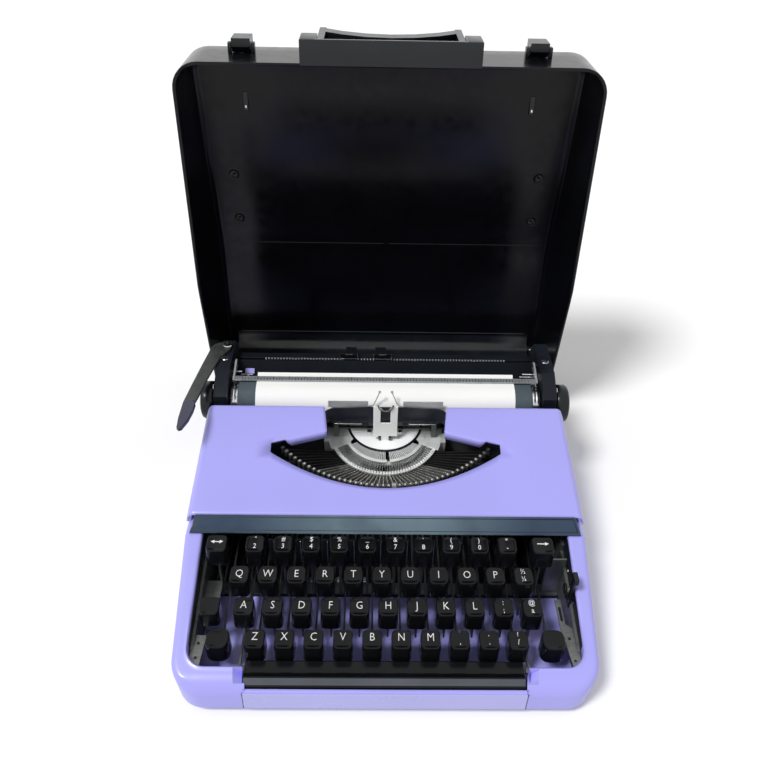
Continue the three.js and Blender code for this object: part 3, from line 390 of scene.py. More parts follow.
dull_steel = metal("Dull zinc plate", (0.20, 0.21, 0.205), 0.42, (1, 4, 1), metallic=0.7)
lever_steel = metal("Lever steel", (0.16, 0.165, 0.16), 0.36, (1, 0.2, 1), metallic=0.85)
nickel_bright = metal("Bright nickel", (0.80, 0.81, 0.82), 0.2)
satin_nickel = metal("Satin nickel", (0.80, 0.81, 0.80), 0.46, (1, 1, 1), 0.05, 0.85, 0.55)
# Nickel drawn as a near-white matte colour: partly the metal's own brightness, partly a painted reflection of the
# light on it.
face_nickel_painted_reflection = metal("Face plate nickel with painted reflection", (0.97, 0.98, 0.97), 0.5, (1, 1, 1), 0.03, 0.98, 0.0)
type_steel = metal("Type steel", (0.62, 0.61, 0.57), 0.3, (1, 1, 1), 0.12, 0.5, 0.8)
slug_steel = metal("Type slug steel", (0.16, 0.16, 0.15), 0.4, (1, 1, 1), 0.12, 0.4, 0.7)
aluminium_bar = metal("Satin aluminium", (0.42, 0.44, 0.46), 0.36, (6, 1, 1), 0.05, 0.8, 0.6)
lever_grey = metal("Return lever grey", (0.085, 0.09, 0.088), 0.42, metallic=0.7)
paddle_blue = moulded("Paddle blue black", (0.010, 0.011, 0.035), 0.22, 900, 0.03, 1.5, 0.3, 0.5)
platen_rubber = moulded("Platen rubber", (0.055, 0.075, 0.088), 0.6, 2200, 0.12, 1.3)
foot_rubber = moulded("Foot rubber", (0.012, 0.012, 0.012), 0.8, 1600, 0.3, 1.6)
legend_white = moulded("Legend white", (0.88, 0.88, 0.88), 0.45, 900, 0.02, 0.93)
paper_white = moulded("Typing paper", (0.93, 0.93, 0.92), 0.85, 2600, 0.12, 0.98)
dot_red = moulded("Selector red", (0.55, 0.02, 0.02), 0.4, 900, 0.02, 0.9)
dot_blue = moulded("Selector blue", (0.03, 0.06, 0.45), 0.4, 900, 0.02, 0.9)


def inked_cloth():
    """Woven ribbon: crossed waves raise the threads."""
    f = Finish("Inked ribbon", (0.010, 0.013, 0.021), 0.3)
    f.tint(f.noise(90, 3), (0.018, 0.022, 0.034))
    for direction in ("X", "Z"):
        wave = f.nodes.new("ShaderNodeTexWave")
        wave.bands_direction = direction
        wave.inputs["Scale"].default_value = 900
        f.links.new(f.place.outputs["Object"], wave.inputs["Vector"])
        f.relief(wave.outputs["Fac"], 0.08)
    return f.material


ribbon_ink = inked_cloth()


# Base
RECESS = 94.3


def base_top(x, y):
    """Height of the base's top: a short rise at the front, the slope beside the keys, then the flat."""
    height = np.interp(y, [0, 7, 103], [25, 31, BASE_TOP])
    return np.where((np.abs(x) < RECESS) & (y < 15.2), 26.0, height)


def drawn_in(x, z):
    """The walls lean in towards the underside: x (1 - lean (top - z))."""
    return x * (1 - 0.000774 * np.maximum(BASE_TOP - z, 0))


def base_plan():
    """Outer loop with its outward normals, front edge first: the left side mirrors the right, read backwards."""
    half, depth, front, rear = 145.0, 284.0, 20.0, 14.0
    q = np.linspace(0, np.pi / 2, 11)[1:-1]
    edge_x = np.concatenate([np.linspace(-125, -RECESS - 0.01, 5), np.linspace(0.01 - RECESS, RECESS - 0.01, 25),
                             np.linspace(RECESS + 0.01, 125, 5)])
    side_y = np.concatenate([np.linspace(20, 51.9, 8), [52.1], np.linspace(56, 76.9, 5), [77.1],
                             np.linspace(82, 103, 6), np.linspace(110, 270, 12)])
    right = [(half - front + front * np.sin(q), front - front * np.cos(q), np.sin(q), -np.cos(q)),
             (half, side_y, 1, 0),
             (half - rear + rear * np.cos(q), depth - rear + rear * np.sin(q), np.cos(q), np.sin(q))]
    right = [np.broadcast_arrays(*columns) for columns in right]
    left = [(-x[::-1], y[::-1], -nx[::-1], ny[::-1]) for x, y, nx, ny in right[::-1]]
    loops = [(edge_x, 0, 0, -1), *right, (np.linspace(131, -131, 14), depth, 0, 1), *left]
    return [np.concatenate(column) for column in zip(*[np.broadcast_arrays(*columns) for columns in loops])]


def well_loop(x, y):
    """The well's edge across from each point of the plan: straight sides with front corners of radius 12."""
    across = np.interp(np.abs(x), [RECESS, 125, 145], [RECESS, 119.5, 131.5])
    beside = np.where(np.abs(x) < RECESS, np.abs(x), across)
    inner_x = np.sign(x) * np.where(y > 255, np.minimum(np.abs(x), 131.5), beside)
    inner_y = np.interp(y, [0, 20, 51.9, 270, 284], [15, 27, 51.9, 270, 281.4])
    return inner_x, np.where((np.abs(x) < RECESS) & (y < 5), 2.7, inner_y)


def base_shell():
    """Each section climbs the wall, turns in over a quarter circle, runs to the well and rolls down into it."""
    x, y, nx, ny = base_plan()
    inner_x, inner_y = well_loop(x, y)
    run = np.hypot(inner_x - x, inner_y - y)
    radius = np.minimum(4.5, run * 0.42)
    foot = [(3.0, 6.0), (0.9, 6.3), (0.25, 7.0), (0.0, 8.2), (0.0, 12.0), (0.0, 18.0)]
    rows = [np.stack([drawn_in(x - nx * d, z), y - ny * d, z + 0 * x], -1) for d, z in foot]
    for t in np.linspace(0, np.pi / 2, 8):
        d = radius * (1 - math.cos(t))
        px, py = x - nx * d, y - ny * d
        z = base_top(px, py) - radius * (1 - math.sin(t))
        rows.append(np.stack([drawn_in(px, z), py, z], -1))
    ax, ay = rows[-1][..., 0], rows[-1][..., 1]
    lip = np.minimum(2.2, run * 0.3)
    reach = np.maximum(np.hypot(inner_x - ax, inner_y - ay), 1e-3)
    back_x, back_y = (inner_x - ax) / reach * lip, (inner_y - ay) / reach * lip
    for share in (0.35, 0.7, 1.0):
        gx, gy = ax + (inner_x - back_x - ax) * share, ay + (inner_y - back_y - ay) * share
        rows.append(np.stack([gx, gy, base_top(gx, gy)], -1))
    top = base_top(inner_x, inner_y)
    for t in np.linspace(0, np.pi / 2, 6)[1:]:
        rows.append(np.stack([inner_x - back_x * (1 - math.sin(t)), inner_y - back_y * (1 - math.sin(t)),
                              top - lip * (1 - math.cos(t))], -1))
    rows.append(np.stack([inner_x, inner_y, top - 4.5], -1))
    rows.append(np.stack([inner_x, inner_y, 9 + 0 * top], -1))
    return quads(np.stack(rows), closed=True)


def cradle(x):
    """One open hinge cradle: a hooked outline carried across its width."""
    outline = [(281.5, 24.5), (297.5, 24.5), (297.5, 33), (294.9, 33), (294.9, 29), (293.6, 27.3), (290.4, 27.3),
               (289.1, 29), (289.1, 33), (281.5, 33)]
    return prism(outline, x - 4, x + 4)


make("base_shell", [base_shell(), block((-137, 2, 6), (137, 282, 8.5), 14, 0.5), cradle(-60), cradle(60)],
     lavender_paint, "base", stands_for=("base_pan",))


def well_liner(sign):
    """Black strip down the inside of a side wall, following the rail's height."""
    y = np.linspace(29, 255, 30)
    low, high = 9.5 + 0 * y, base_top(sign * 145, y) - 1.5
    rows = [(131.45, low), (131.45, high), (131.1, high), (131.1, low)]
    return solid(np.stack([np.stack([sign * x + 0 * y, y, z], -1) for x, z in rows], axis=1))


make("well_liners", [well_liner(sign) for sign in SIDES], housing_black, "base")
make("feet", [turned([(0, 8.2), (0.8, 9), (4.6, 9), (6, 8.4)], (x, y, 0), 2)
              for x in (-121, 121) for y in (24, 260)], foot_rubber, "base")
make("front_strip", [prism([(0.4, 7.4), (-0.35, 7.4), (-0.35, 23.4), (0.4, 24.6)], -93.2, 92.4)], strip_paint,
     "base", 0.25)
make("strip_seams", [prism([(0.3, 7), (-0.02, 7), (-0.02, 24.2), (0.3, 24.2)], x - 0.22, x + 0.22)
                     for x in (-93.6, 92.8)], plate_line, "base")

# Plates and guides that stand round the keys
HOOKS = [lane * KEY_PITCH - 15.2 for lane in range(-3, 5)]


def plate_with_holes(outline, holes, low, high):
    """A flat plate drawn in plan, with shallow dark discs where it is pierced."""
    discs = [turned([(high, 0.2), (high + 0.05, radius)], (x, y, 0), 2, 20) for x, y, radius in holes]
    return prism(outline, low, high, 2), discs


left_plate, left_holes = plate_with_holes(
    [(-130.8, 17.5), (-126.5, 14.4), (-123.2, 15.2), (-121.4, 39.5), (-130.8, 39.5)],
    [(-126.4, 22, 1.1), (-126.2, 33, 1.1)], 29.2, 30.7)
right_plate, right_holes = plate_with_holes(
    [(130.6, 17.5), (127.5, 14.6), (124.4, 15.6), (120.8, 45), (120.8, 70.5), (125.0, 70.5), (125.0, 50),
     (130.6, 45)],
    [(126.3, 21, 1.0), (125.4, 38, 1.2)], 29.2, 30.7)
slot_loop = rounded_loop(0.9, 6.0, 0.8) + np.array([122.9, 58.0])
make("well_plates", [left_plate, right_plate,
                     prism([(-130.6, 58), (-118, 58), (-118, 86), (-130.6, 86)], 26.8, 28.2, 2),
                     prism([(-130.6, 86), (-118, 86), (-118, 87.2), (-130.6, 87.2)], 13, 28.2, 2),
                     prism([(116.5, 90.5), (130.6, 90.5), (130.6, 92), (116.5, 92)], 13, 50, 2)],
     dull_steel, "base", 0.3)
make("well_plate_holes", [*left_holes, *right_holes, prism(slot_loop, 30.7, 30.76, 2)], plate_line, "base")
GAPS = [(ROW_STARTS[3] + column + 0.5) * KEY_PITCH for column in range(10)]
make("key_guides", [block((x - 4, 103.6, 28.6), (x + 1.5, 105.2, 54), 0.5, 0.3) for x in GAPS], housing_black,
     "base")
make("guide_edges", [block((x - 0.3, 103.2, 30), (x + 0.3, 103.7, 53), 0.2, 0.1) for x in GAPS], nickel_bright,
     "base")


def wire_hook(x):
    """Spring loop lying low on the pan: a half circle of wire between two short legs."""
    t = np.linspace(0, np.pi, 9)
    arch = np.stack([x + 2.2 * np.cos(t), 99 + 0 * t, 11.2 + 1.8 * np.sin(t)], -1)
    return tube(np.concatenate([[(x + 2.2, 99, 9.6)], arch, [(x - 2.2, 99, 9.6)]]), 0.6, 8, (0, 1, 0))


make("spring_hooks", [wire_hook(x) for x in HOOKS]
     + [turned([(9.4, 3.2), (10.2, 3.4), (11.6, 3.4), (12.2, 2.6)], (x, 101, 0), 2, 20) for x in HOOKS],
     nickel_bright, "base")

# Ribbon cover
NOTCH_FRONT, NOTCH_Y, NOTCH_REAR = 45.8, 185.0, 48.8
TIP_X, TIP_REAR, TIP_FRONT = 88.2, 173.3, 165.0
COVER_FRONT, COVER_REAR = 112.7, 208.5
FRONT_HEIGHT, REAR_HEIGHT = 69.9, 95.0
FRONT_ROLL, REAR_ROLL = 115.6, 205.5


def cover_height(y):
    """The cover's top: a straight slope that rolls down over its first and last millimetres."""
    plane = FRONT_HEIGHT + (y - COVER_FRONT) * (REAR_HEIGHT - FRONT_HEIGHT) / (COVER_REAR - COVER_FRONT)
    rear_roll = np.clip(y - REAR_ROLL, 0, 3.0)
    front_roll = np.clip(FRONT_ROLL - y, 0, 2.0)
    return plane - (3.0 - np.sqrt(9.0 - rear_roll**2)) - (2.0 - np.sqrt(4.0 - front_roll**2))


def opening_front(x):
    """Front edge of the opening: y = middle + rise (x / tip)^2."""
    return 135.3 + (TIP_FRONT - 135.3) * (x / TIP_X) ** 2


def opening_rear(x):
    """Rear edge of the opening beside the notch: a straight line out to the tip."""
    return np.interp(np.abs(x), [NOTCH_FRONT, TIP_X], [NOTCH_Y, TIP_REAR])


def front_lines(count):
    """Lines across the cover, as y, from its front edge to the opening's tip: closer where it rolls over."""
    return np.concatenate([[113.62, 113.9, 114.4, 115.0], np.linspace(FRONT_ROLL, TIP_FRONT, count)])


def rear_lines(count):
    """Lines across the cover, as y, from the tip to the cover's rear edge: closer where it rolls over."""
    roll = COVER_REAR - 3.0 * np.cos(np.linspace(0.5, np.pi / 2, 5))
    return np.concatenate([np.linspace(TIP_REAR, REAR_ROLL, count), roll])


def cover_middle():
    """In front of the opening: y runs from the front edge to the opening's front edge."""
    x = np.linspace(-TIP_X, TIP_X, 57)[:, None]
    roll = np.broadcast_to(front_lines(2)[:5], (57, 5))
    flat = FRONT_ROLL + (opening_front(x) - FRONT_ROLL) * np.linspace(0, 1, 9)[None, 1:]
    y = np.concatenate([roll, flat], axis=1)
    return quads(np.stack([np.broadcast_to(x, y.shape), y, cover_height(y)], -1))


def cover_wing(sign):
    """Behind the opening, from its tip to the notch: y runs from the turned-down flange to the rear edge."""
    share = np.linspace(0, 1, 18)[:, None]
    x = TIP_X + (NOTCH_FRONT - TIP_X) * share
    lines = rear_lines(7)[None, :]
    front = opening_rear(x)
    stretched = front + (REAR_ROLL - front) * (lines - TIP_REAR) / (REAR_ROLL - TIP_REAR)
    y = np.where(lines <= REAR_ROLL, stretched, lines)
    lean = (NOTCH_REAR - NOTCH_FRONT) * np.clip((y - NOTCH_Y) / (COVER_REAR - NOTCH_Y), 0, 1)
    corner = 4.0 - np.sqrt(np.maximum(16.0 - np.clip(y - 204.5, 0, 4.0) ** 2, 0))
    top = np.stack([sign * (x + (lean + corner) * share**3), y, cover_height(y)], -1)
    bend = np.array([(-2.3, -6.0), (-1.6, -2.0), (-1.25, -0.9), (-0.7, -0.25)])
    fade = np.clip((78.0 - x) / 4.0, 0.02, 1)
    edge = np.broadcast_to(front, (18, 4))
    flange = np.stack([np.broadcast_to(sign * x, (18, 4)), edge + bend[:, 0] * fade,
                       cover_height(edge) + bend[:, 1] * fade], -1)
    return quads(np.concatenate([flange, top], axis=1))


def cover_side(sign):
    """Side of the cover: up the flared wall, round the shoulder, then across to the opening's tip."""
    shoulder = 5.0
    t = np.linspace(0, np.pi / 2, 8)
    y = np.concatenate([front_lines(9), np.linspace(TIP_FRONT, TIP_REAR, 3)[1:], rear_lines(7)[1:]])
    height = cover_height(y)
    wall = np.linspace(0, 1, 4)[:, None]
    foot = 62.1
    wall_z = foot + (height - shoulder - foot)[None, :] * wall
    wall_x = 141 + 4 * (REAR_HEIGHT - wall_z) / 33
    round_z = (height - shoulder)[None, :] + shoulder * np.sin(t)[1:, None]
    round_x = (141 - shoulder) + (4 * (REAR_HEIGHT - height) / 33)[None, :] + shoulder * np.cos(t)[1:, None]
    flat = np.linspace(0, 1, 5)[1:, None]
    flat_x = round_x[-1:] + (TIP_X - round_x[-1:]) * flat
    x = np.concatenate([wall_x, round_x, flat_x])
    z = np.concatenate([wall_z, round_z, np.broadcast_to(height, flat_x.shape)])
    return quads(np.stack([sign * x, np.broadcast_to(y, x.shape), z], -1))


cover = make("ribbon_cover_shell",
             [cover_middle()] + [part(sign) for sign in SIDES for part in (cover_wing, cover_side)],
             lavender_paint, "ribbon_cover", angle=50, stands_for=("ribbon_cover",))
thickness = cover.modifiers.new("Pressed sheet", "SOLIDIFY")
thickness.thickness = 1.6 * METRES
thickness.offset = -1


def plate_section(profile, ends):
    """A profile of (y, z) carried along x; each point's half length follows its height, so the ends slant."""
    profile = np.array(profile, float)
    half = np.interp(profile[:, 1], [62.1, 70.1], ends)
    points = np.stack([np.stack([side * half, profile[:, 0], profile[:, 1]], -1) for side in SIDES])
    return solid(points)


make("name_strip_plate", [plate_section([(102.4, 61.95), (102.0, 62.6), (102.6, 63.3), (112.3, 70.0), (113.1, 70.1),
                                         (113.9, 68.8), (105.3, 61.95)], (141.2, 137.4))],
     smoked_gloss_painted_reflection, "ribbon_cover", 0.3, stands_for=("name_strip",))
FACE_LEAN = math.atan2(6.7, 9.7)
PROUD = 0.06


def on_plate(x, along):
    """A point on the plate's face: x, and a distance up its slope from the lower edge, a hair proud."""
    x, along = np.broadcast_arrays(x, along)
    y = 102.6 + along * math.cos(FACE_LEAN) - PROUD * math.sin(FACE_LEAN)
    return np.stack([x, y, 63.3 + along * math.sin(FACE_LEAN) + PROUD * math.cos(FACE_LEAN)], -1)


def plate_rule(low_ends, high_ends, low, high):
    """A thin ruled line on the plate between two heights of its face, with its ends at each height."""
    return quads(on_plate(np.array([low_ends, high_ends], float).T, np.array([[low, high]] * 2)))


make("plate_frame", [plate_rule((-138.6, 138.6), (-138.6, 138.6), 1.2, 1.6),
                     plate_rule((-136.2, 136.2), (-136.2, 136.2), 10.4, 10.9),
                     plate_rule((-138.6, -138.1), (-136.2, -135.7), 1.2, 10.9),
                     plate_rule((138.1, 138.6), (135.7, 136.2), 1.2, 10.9)], plate_line, "ribbon_cover")


# Keys
ROWS = ("zxcvbnm...", "asdfghjkl..", "qwertyuiop.", "..........")
MARKS = (("'\n,", ".\n.", "?\n/"), (":\n;", "@\na"), ("½\n¼",),
         ('"\n2', "#\n3", "$\n4", "%\n5", "_\n6", "&\n7", "'\n8", "(\n9", ")\n0", "*\n-"))
CAP_WIDTH, CAP_HEIGHT, HOLLOW, SOLID_CAP = 13.9, 16.0, 0.8, 13.5
LEGEND_BACK = (2.2, 1.4, 1.2, 1.6)


def key_y(row):
    return FIRST_ROW_Y + row * ROW_PITCH


def key_top(row):
    return FIRST_ROW_TOP + row * ROW_RISE


def cap(x, row, width=CAP_WIDTH, depth=15.0, corner=3.4, height=CAP_HEIGHT):
    """Tall key cap: loops up a straight skirt, over a small rim, then a top hollowed by k (1 - (x / half)^2)."""
    inset = np.array([0.5, 0.1, 0.0, 0.25, 0.4, 0.5, 0.75, 1.2, 1.8, 3.0, 4.4, 6.0])
    drops = np.array([height, height - 0.4, height - 1, 4.0, 1.6, 0.9, 0.35, 0.08, 0, 0, 0, 0])
    loops = np.stack([close_loop(width / 2 - d, depth / 2 - d, max(corner - d, 0.3)) for d in inset])
    hollow = HOLLOW * (1 - (loops[..., 0] / (width / 2)) ** 2) * np.clip((inset[:, None] - 0.5) / 1.3, 0, 1)
    y = loops[..., 1] + key_y(row) + (depth - SOLID_CAP) / 2
    z = key_top(row) - drops[:, None] - hollow
    return solid(np.stack([loops[..., 0] + x, y, z], -1))


def lever(x, row):
    """Key lever: stem under the cap, then a thin bar back to its boss on the shaft."""
    y, stem_top = key_y(row), key_top(row) - CAP_HEIGHT + 1
    outline = [(y - 2.5, 21), (SHAFT[0] - 4, SHAFT[1] - 1.8), (SHAFT[0] - 4, SHAFT[1] + 1.8), (y + 5, 24.6),
               (y + 2.5, 26), (y + 2.5, stem_top), (y - 2.5, stem_top)]
    boss = turned([(-0.6, 2.4), (-0.6, 4.4), (0.6, 4.4), (0.6, 2.4)], (x, *SHAFT), 0, 24)
    return [prism(outline, x - 0.6, x + 0.6), boss]


def on_cap(points, x, row):
    """Lays flat marks on a cap: z = top - hollow at each x, a hair proud."""
    points = np.array(points, float)
    lift = key_top(row) - HOLLOW * (1 - (points[:, 0] / (SOLID_CAP / 2)) ** 2) + 0.09 + points[:, 2]
    return np.stack([points[:, 0] + x, points[:, 1] + key_y(row), lift], -1)


def lettering(text, size, heavier, line_space=1.0):
    """Raised letters as points and faces, about their own middle and twice PROUD thick."""
    letters = bpy.data.curves.new("letters", "FONT")
    letters.body = text
    letters.size = size
    letters.align_x = letters.align_y = "CENTER"
    letters.space_line = line_space
    letters.offset = heavier
    letters.extrude = PROUD
    letters.resolution_u = 2
    text_piece = bpy.data.objects.new("letters", letters)
    bpy.context.collection.objects.link(text_piece)
    mesh = bpy.data.meshes.new_from_object(text_piece)
    bpy.data.objects.remove(text_piece)
    points = np.empty(len(mesh.vertices) * 3)
    mesh.vertices.foreach_get("co", points)
    faces = [tuple(face.vertices) for face in mesh.polygons]
    bpy.data.meshes.remove(mesh)
    return points.reshape(-1, 3), faces


def legend(name, text, x, row, body, size=8.8, heavier=-0.1):
    """A narrow upright legend lying just above the hollowed top, a little behind its middle."""
    points, faces = lettering(text, size, heavier, 1.06)
    placed = points * np.array([0.78, 1, 1]) + np.array([0, LEGEND_BACK[row], 0])
    make(name, [(on_cap(placed, x, row), faces)], legend_white, body)


def arrow(name, x, row, body, both_ways):
    """An arrow across the cap: a thin bar with one or two pointed heads."""
    right = [(1.8, 0.42), (1.8, 1.5), (4.4, 0.0), (1.8, -1.5), (1.8, -0.42)]
    left = [(-a, -b) for a, b in right] if both_ways else [(-3.8, -0.42), (-3.8, 0.42)]
    outline = np.array(right + left) + np.array([0.0, 2.0])
    points, faces = prism(outline, -PROUD, PROUD, 2)
    make(name, [(on_cap(points, x, row), faces)], legend_white, body)


def add_keys():
    """Every letter key on its own body, and the figure and mark keys joined on theirs."""
    figure_caps, figure_levers = [], []
    for row, letters in enumerate(ROWS):
        marks = iter(MARKS[row])
        for column, letter in enumerate(letters):
            x = (ROW_STARTS[row] + column) * KEY_PITCH
            if letter == ".":
                figure_caps.append(cap(x, row))
                figure_levers.extend(lever(x, row))
                legend(f"mark_{row}_{column}", next(marks), x, row, "figure_and_mark_keys", 6.0, -0.01)
                continue
            body = f"key_{letter}"
            make(f"cap_{letter}", [cap(x, row)], key_black, body, stands_for=(body,))
            make(f"lever_{letter}", lever(x, row), lever_steel, body, stands_for=(body,))
            legend(f"letter_{letter}", letter.upper(), x, row, body)
    joined = "figure_and_mark_keys"
    make("figure_caps", figure_caps, key_black, joined, stands_for=(joined,))
    ends = [(ROW_STARTS[3] * KEY_PITCH, 208, 19.5), ((ROW_STARTS[1] + 10) * KEY_PITCH, 208, 19.5)]
    make("figure_levers", [*figure_levers, tube(np.linspace(*ends, 3), 2)], lever_steel, joined,
         stands_for=(joined,))


add_keys()


def control_key(name, x, row, body, width, lane=None, height=CAP_HEIGHT):
    """A key beside the letters, on its own body; its lever stands under its cap, or in a lane of its own."""
    make(f"{name}_cap", [cap(x, row, width, height=height)], key_black, body, stands_for=(body,))
    make(f"{name}_lever", lever(lane or x, row), lever_steel, body, stands_for=(body,))


RELEASE_X, BACKSPACE_X = -117.7, 109.1
control_key("shift_lock", -118.9, 1, "shift_lock_key", CAP_WIDTH, -123, 13.5)
control_key("margin_release", RELEASE_X, 3, "margin_release_key", 15.0)
control_key("backspace", BACKSPACE_X, 3, "backspace_key", 16.0)
arrow("margin_release_mark", RELEASE_X, 3, "margin_release_key", True)
arrow("backspace_mark", BACKSPACE_X, 3, "backspace_key", False)
make("shift_caps", [cap(x, 0, 16, 15.8, 5.6) for x in (-112.1, 111.7)], key_black, "shift_keys",
     stands_for=("shift_keys",))
make("shift_levers", [*lever(-112.1, 0), *lever(111.7, 0)]
     + [tube(np.linspace((-112.7, 214, 26), (112.3, 214, 26), 3), 2)]
     + [block((x, 203, 24), (x + 1.2, 214, 28), 0.3, 0.1) for x in (-112.7, 111.1)],
     lever_steel, "shift_keys", stands_for=("shift_keys",))

bar_outline = [(3.6, 22.2), (3.4, 23), (3.45, 26.2), (4.2, 27.1), (8.0, 29.9), (8.8, 30.1), (10.2, 29.4),
               (11.6, 28.7), (13.2, 28.6), (20.8, 29.2), (21.7, 28.6), (22, 27), (22, 22.2)]
make("space_bar_top", [prism(bar_outline, -93.4, 91.2)], key_black, "space_bar", 0.3,
     stands_for=("space_bar",))
# A lighter strip along the black bar's ridge: painted highlight.
make("space_bar_ridge", [prism([(4.4, 27.15), (7.9, 29.75), (7.85, 29.95), (4.35, 27.35)], -93.2, 91.0)],
     ridge_painted_highlight, "space_bar")
arm_outline = [(16, 16), (200, 23.8), (200, 28.2), (21, 20.4), (21, 24.5), (16, 24.5)]
make("space_bar_arms", [prism(arm_outline, x - 0.6, x + 0.6) for x in (-98.35, 96.65)]
     + [block((low, 16, 22.4), (high, 21, 24.4), 0.6, 0.3) for low, high in ((-99, -93), (93, 97.3))],
     lever_steel, "space_bar", stands_for=("space_bar",))
selector = softened("ribbon_selector", trim_black, "ribbon_selector", 0.5)
for corner in selector.data.vertices:
    corner.co.x -= 5.2 * METRES
selector.data.update()
DOT = [(130.6, 0.2), (130.3, 0.9), (130.0, 0.8), (129.8, 0.2)]
for name, material, y, z in (("white", legend_white, 83.0, 47.0), ("lower_white", legend_white, 72.0, 40.0),
                             ("red", dot_red, 65.0, 43.5), ("blue", dot_blue, 59.5, 41.5)):
    make(f"selector_dot_{name}", [turned(DOT, (0, y, z), 0, 20)], material, "base")

# Carriage
ROLLER = [(-119, 15.5), (-119, 16.6), (-118.6, 17), (118.6, 17), (119, 16.6), (119, 15.5)]
RING = [(119.1, 9), (119.1, 15.6), (120.2, 16.2), (122.4, 15.2), (123.2, 15.6), (125.6, 14.6), (126.5, 12),
        (126.5, 4), (149, 4)]
KNOB = [(139.2, 6), (139.2, 13.6), (140.0, 14.9), (141.4, 15.5), (147.6, 15.5), (149.4, 14.4), (150.4, 12.0),
        (150.5, 9.5), (149.8, 6)]
KNURLS, KNURL_DEPTH = 48, 0.012


def on_platen(profile, sign=1, *rest):
    """A profile turned about the platen's axis, mirrored to the left for a negative sign."""
    return turned([(sign * a, r) for a, r in profile], (0, *PLATEN), 0, *rest)


make("platen_roller", [on_platen(ROLLER, 1, 72)], platen_rubber, "platen",
     stands_for=("platen",))
make("platen_rings", [on_platen(RING, sign) for sign in SIDES], nickel_bright, "platen",
     stands_for=("platen",))
for side, sign in zip(("left", "right"), SIDES):
    make(f"knob_{side}_turned", [on_platen(KNOB, sign, 96, KNURLS, KNURL_DEPTH)], trim_black, "platen",
         stands_for=(f"knob_{side}",))
softened("carriage_frame", housing_black, "carriage_frame", 1.6)
softened("paper_table", table_black, "carriage_frame", 0.3)
softened("carriage_slide", housing_black, "carriage_slide", 0.4)
softened("margin_rail", housing_black, "carriage_slide", 0.4)
STOP_Y = 265.5
for side, x in (("left", -29.0), ("right", -4.0)):
    softened(f"margin_stop_{side}", trim_black, f"margin_stop_{side}", 0.5)
    low, high = (x - 9.6, x + 5.8) if side == "left" else (x - 5.8, x + 9.6)
    middle = (low + high) / 2
    make(f"stop_plate_{side}", [block((low, STOP_Y, 98.2), (high, STOP_Y + 0.6, 103.8), 0.6, 0.15, axis=1)],
         trim_black, f"margin_stop_{side}")
    edges = ((low - 0.2, low + 0.4, 98.2, 103.8, 0.3), (high - 0.4, high + 0.2, 98.2, 103.8, 0.3),
             (low, high, 98.2, 98.7, 0.3), (middle - 3.2, middle + 3.2, 102.4, 103.4, 0.1))
    make(f"stop_edges_{side}", [block((a, STOP_Y - 0.15, foot), (b, STOP_Y + back, top), 0.1, 0.05, steps=1)
                                for a, b, foot, top, back in edges],
         nickel_bright, f"margin_stop_{side}")


def sheet_on_roller():
    """Paper round the platen: a hair over the roller's radius to its top, then straight back under the bail."""
    angle = np.linspace(math.radians(215), math.radians(88), 32)
    faces_of_sheet = []
    for radius, lift in ((17.1, 0.0), (17.35, 0.25)):
        bend = np.stack([PLATEN[0] + radius * np.cos(angle), PLATEN[1] + radius * np.sin(angle)], -1)
        faces_of_sheet.append(np.concatenate([bend, [(237.4, 99.5 + lift), (241.2, 101.5 + lift)]]))
    return prism(np.concatenate([faces_of_sheet[0], faces_of_sheet[1][::-1]]), -105, 105)


make("paper_sheet", [sheet_on_roller()], paper_white, "carriage_frame")


SCALE_START = -40 * CHARACTER


def scale_marks():
    """Upright marks of the margin scale, one to a character, each tenth one taller."""
    marks = []
    for i in range(81):
        x = SCALE_START + i * CHARACTER
        foot = 97.5 - (1.5 if i % 10 else 2.2)
        marks.append(block((x - 0.4, 267.15, foot), (x + 0.4, 267.45, 97.5), 0.08, 0.05, steps=1))
    return marks


def scale_numbers():
    """Numbers standing under each tenth mark of the margin scale."""
    surfaces = []
    for i in range(9):
        points, faces = lettering(str(i * 10), 3.2, 0.12)
        x = points[:, 0] + SCALE_START + 10 * CHARACTER * i
        surfaces.append((np.stack([x, 267.2 - points[:, 2], 94.5 + points[:, 1]], -1), faces))
    return surfaces


make("margin_scale", scale_marks() + scale_numbers(), legend_white, "carriage_slide")
softened("paper_bail", aluminium_bar, "paper_bail", 0.25)
make("bail_marks", [block((x - 0.2, 231.8, 101.36), (x + 0.2, 234.4 if i % 5 else 236.0, 101.5), 0.08, 0.04,
                          steps=1) for i, x in enumerate(np.arange(-46, 47) * CHARACTER)],
     trim_black, "paper_bail")


def on_table(near, far, low, high):
    """Outline lying on the paper table: from near to far up its slope, from low to high off its face."""
    lean = math.atan2(17.5, 14.0)
    corners = np.array([(near, low), (far, low), (far, high), (near, high)])
    return np.stack([249.5 + corners[:, 0] * math.cos(lean) - corners[:, 1] * math.sin(lean),
                     80 + corners[:, 0] * math.sin(lean) + corners[:, 1] * math.cos(lean)], -1)


make("paper_guide", [prism(on_table(11, 15.5, 0.05, 1.5), -118.5, -110.5)], lavender_paint, "carriage_frame",
     0.3)
make("paper_guide_stem", [prism(on_table(5, 11.2, 0.05, 0.9), -116.5, -115.3),
                          prism(on_table(10, 11, 0.05, 0.9), -122, -112)],
     legend_white, "carriage_frame", 0.15)
RODS = ((114.5, 127.3, 97.2), (112.5, 127.3, 94.4), (115.5, 127.3, 91.6),
        (-127.3, -119.5, 97.2), (-127.3, -119.5, 92))
make("release_rods", [tube(np.linspace((start, 248, z), (stop, 248, z), 3), 0.75) for start, stop, z in RODS],
     nickel_bright, "carriage_frame")


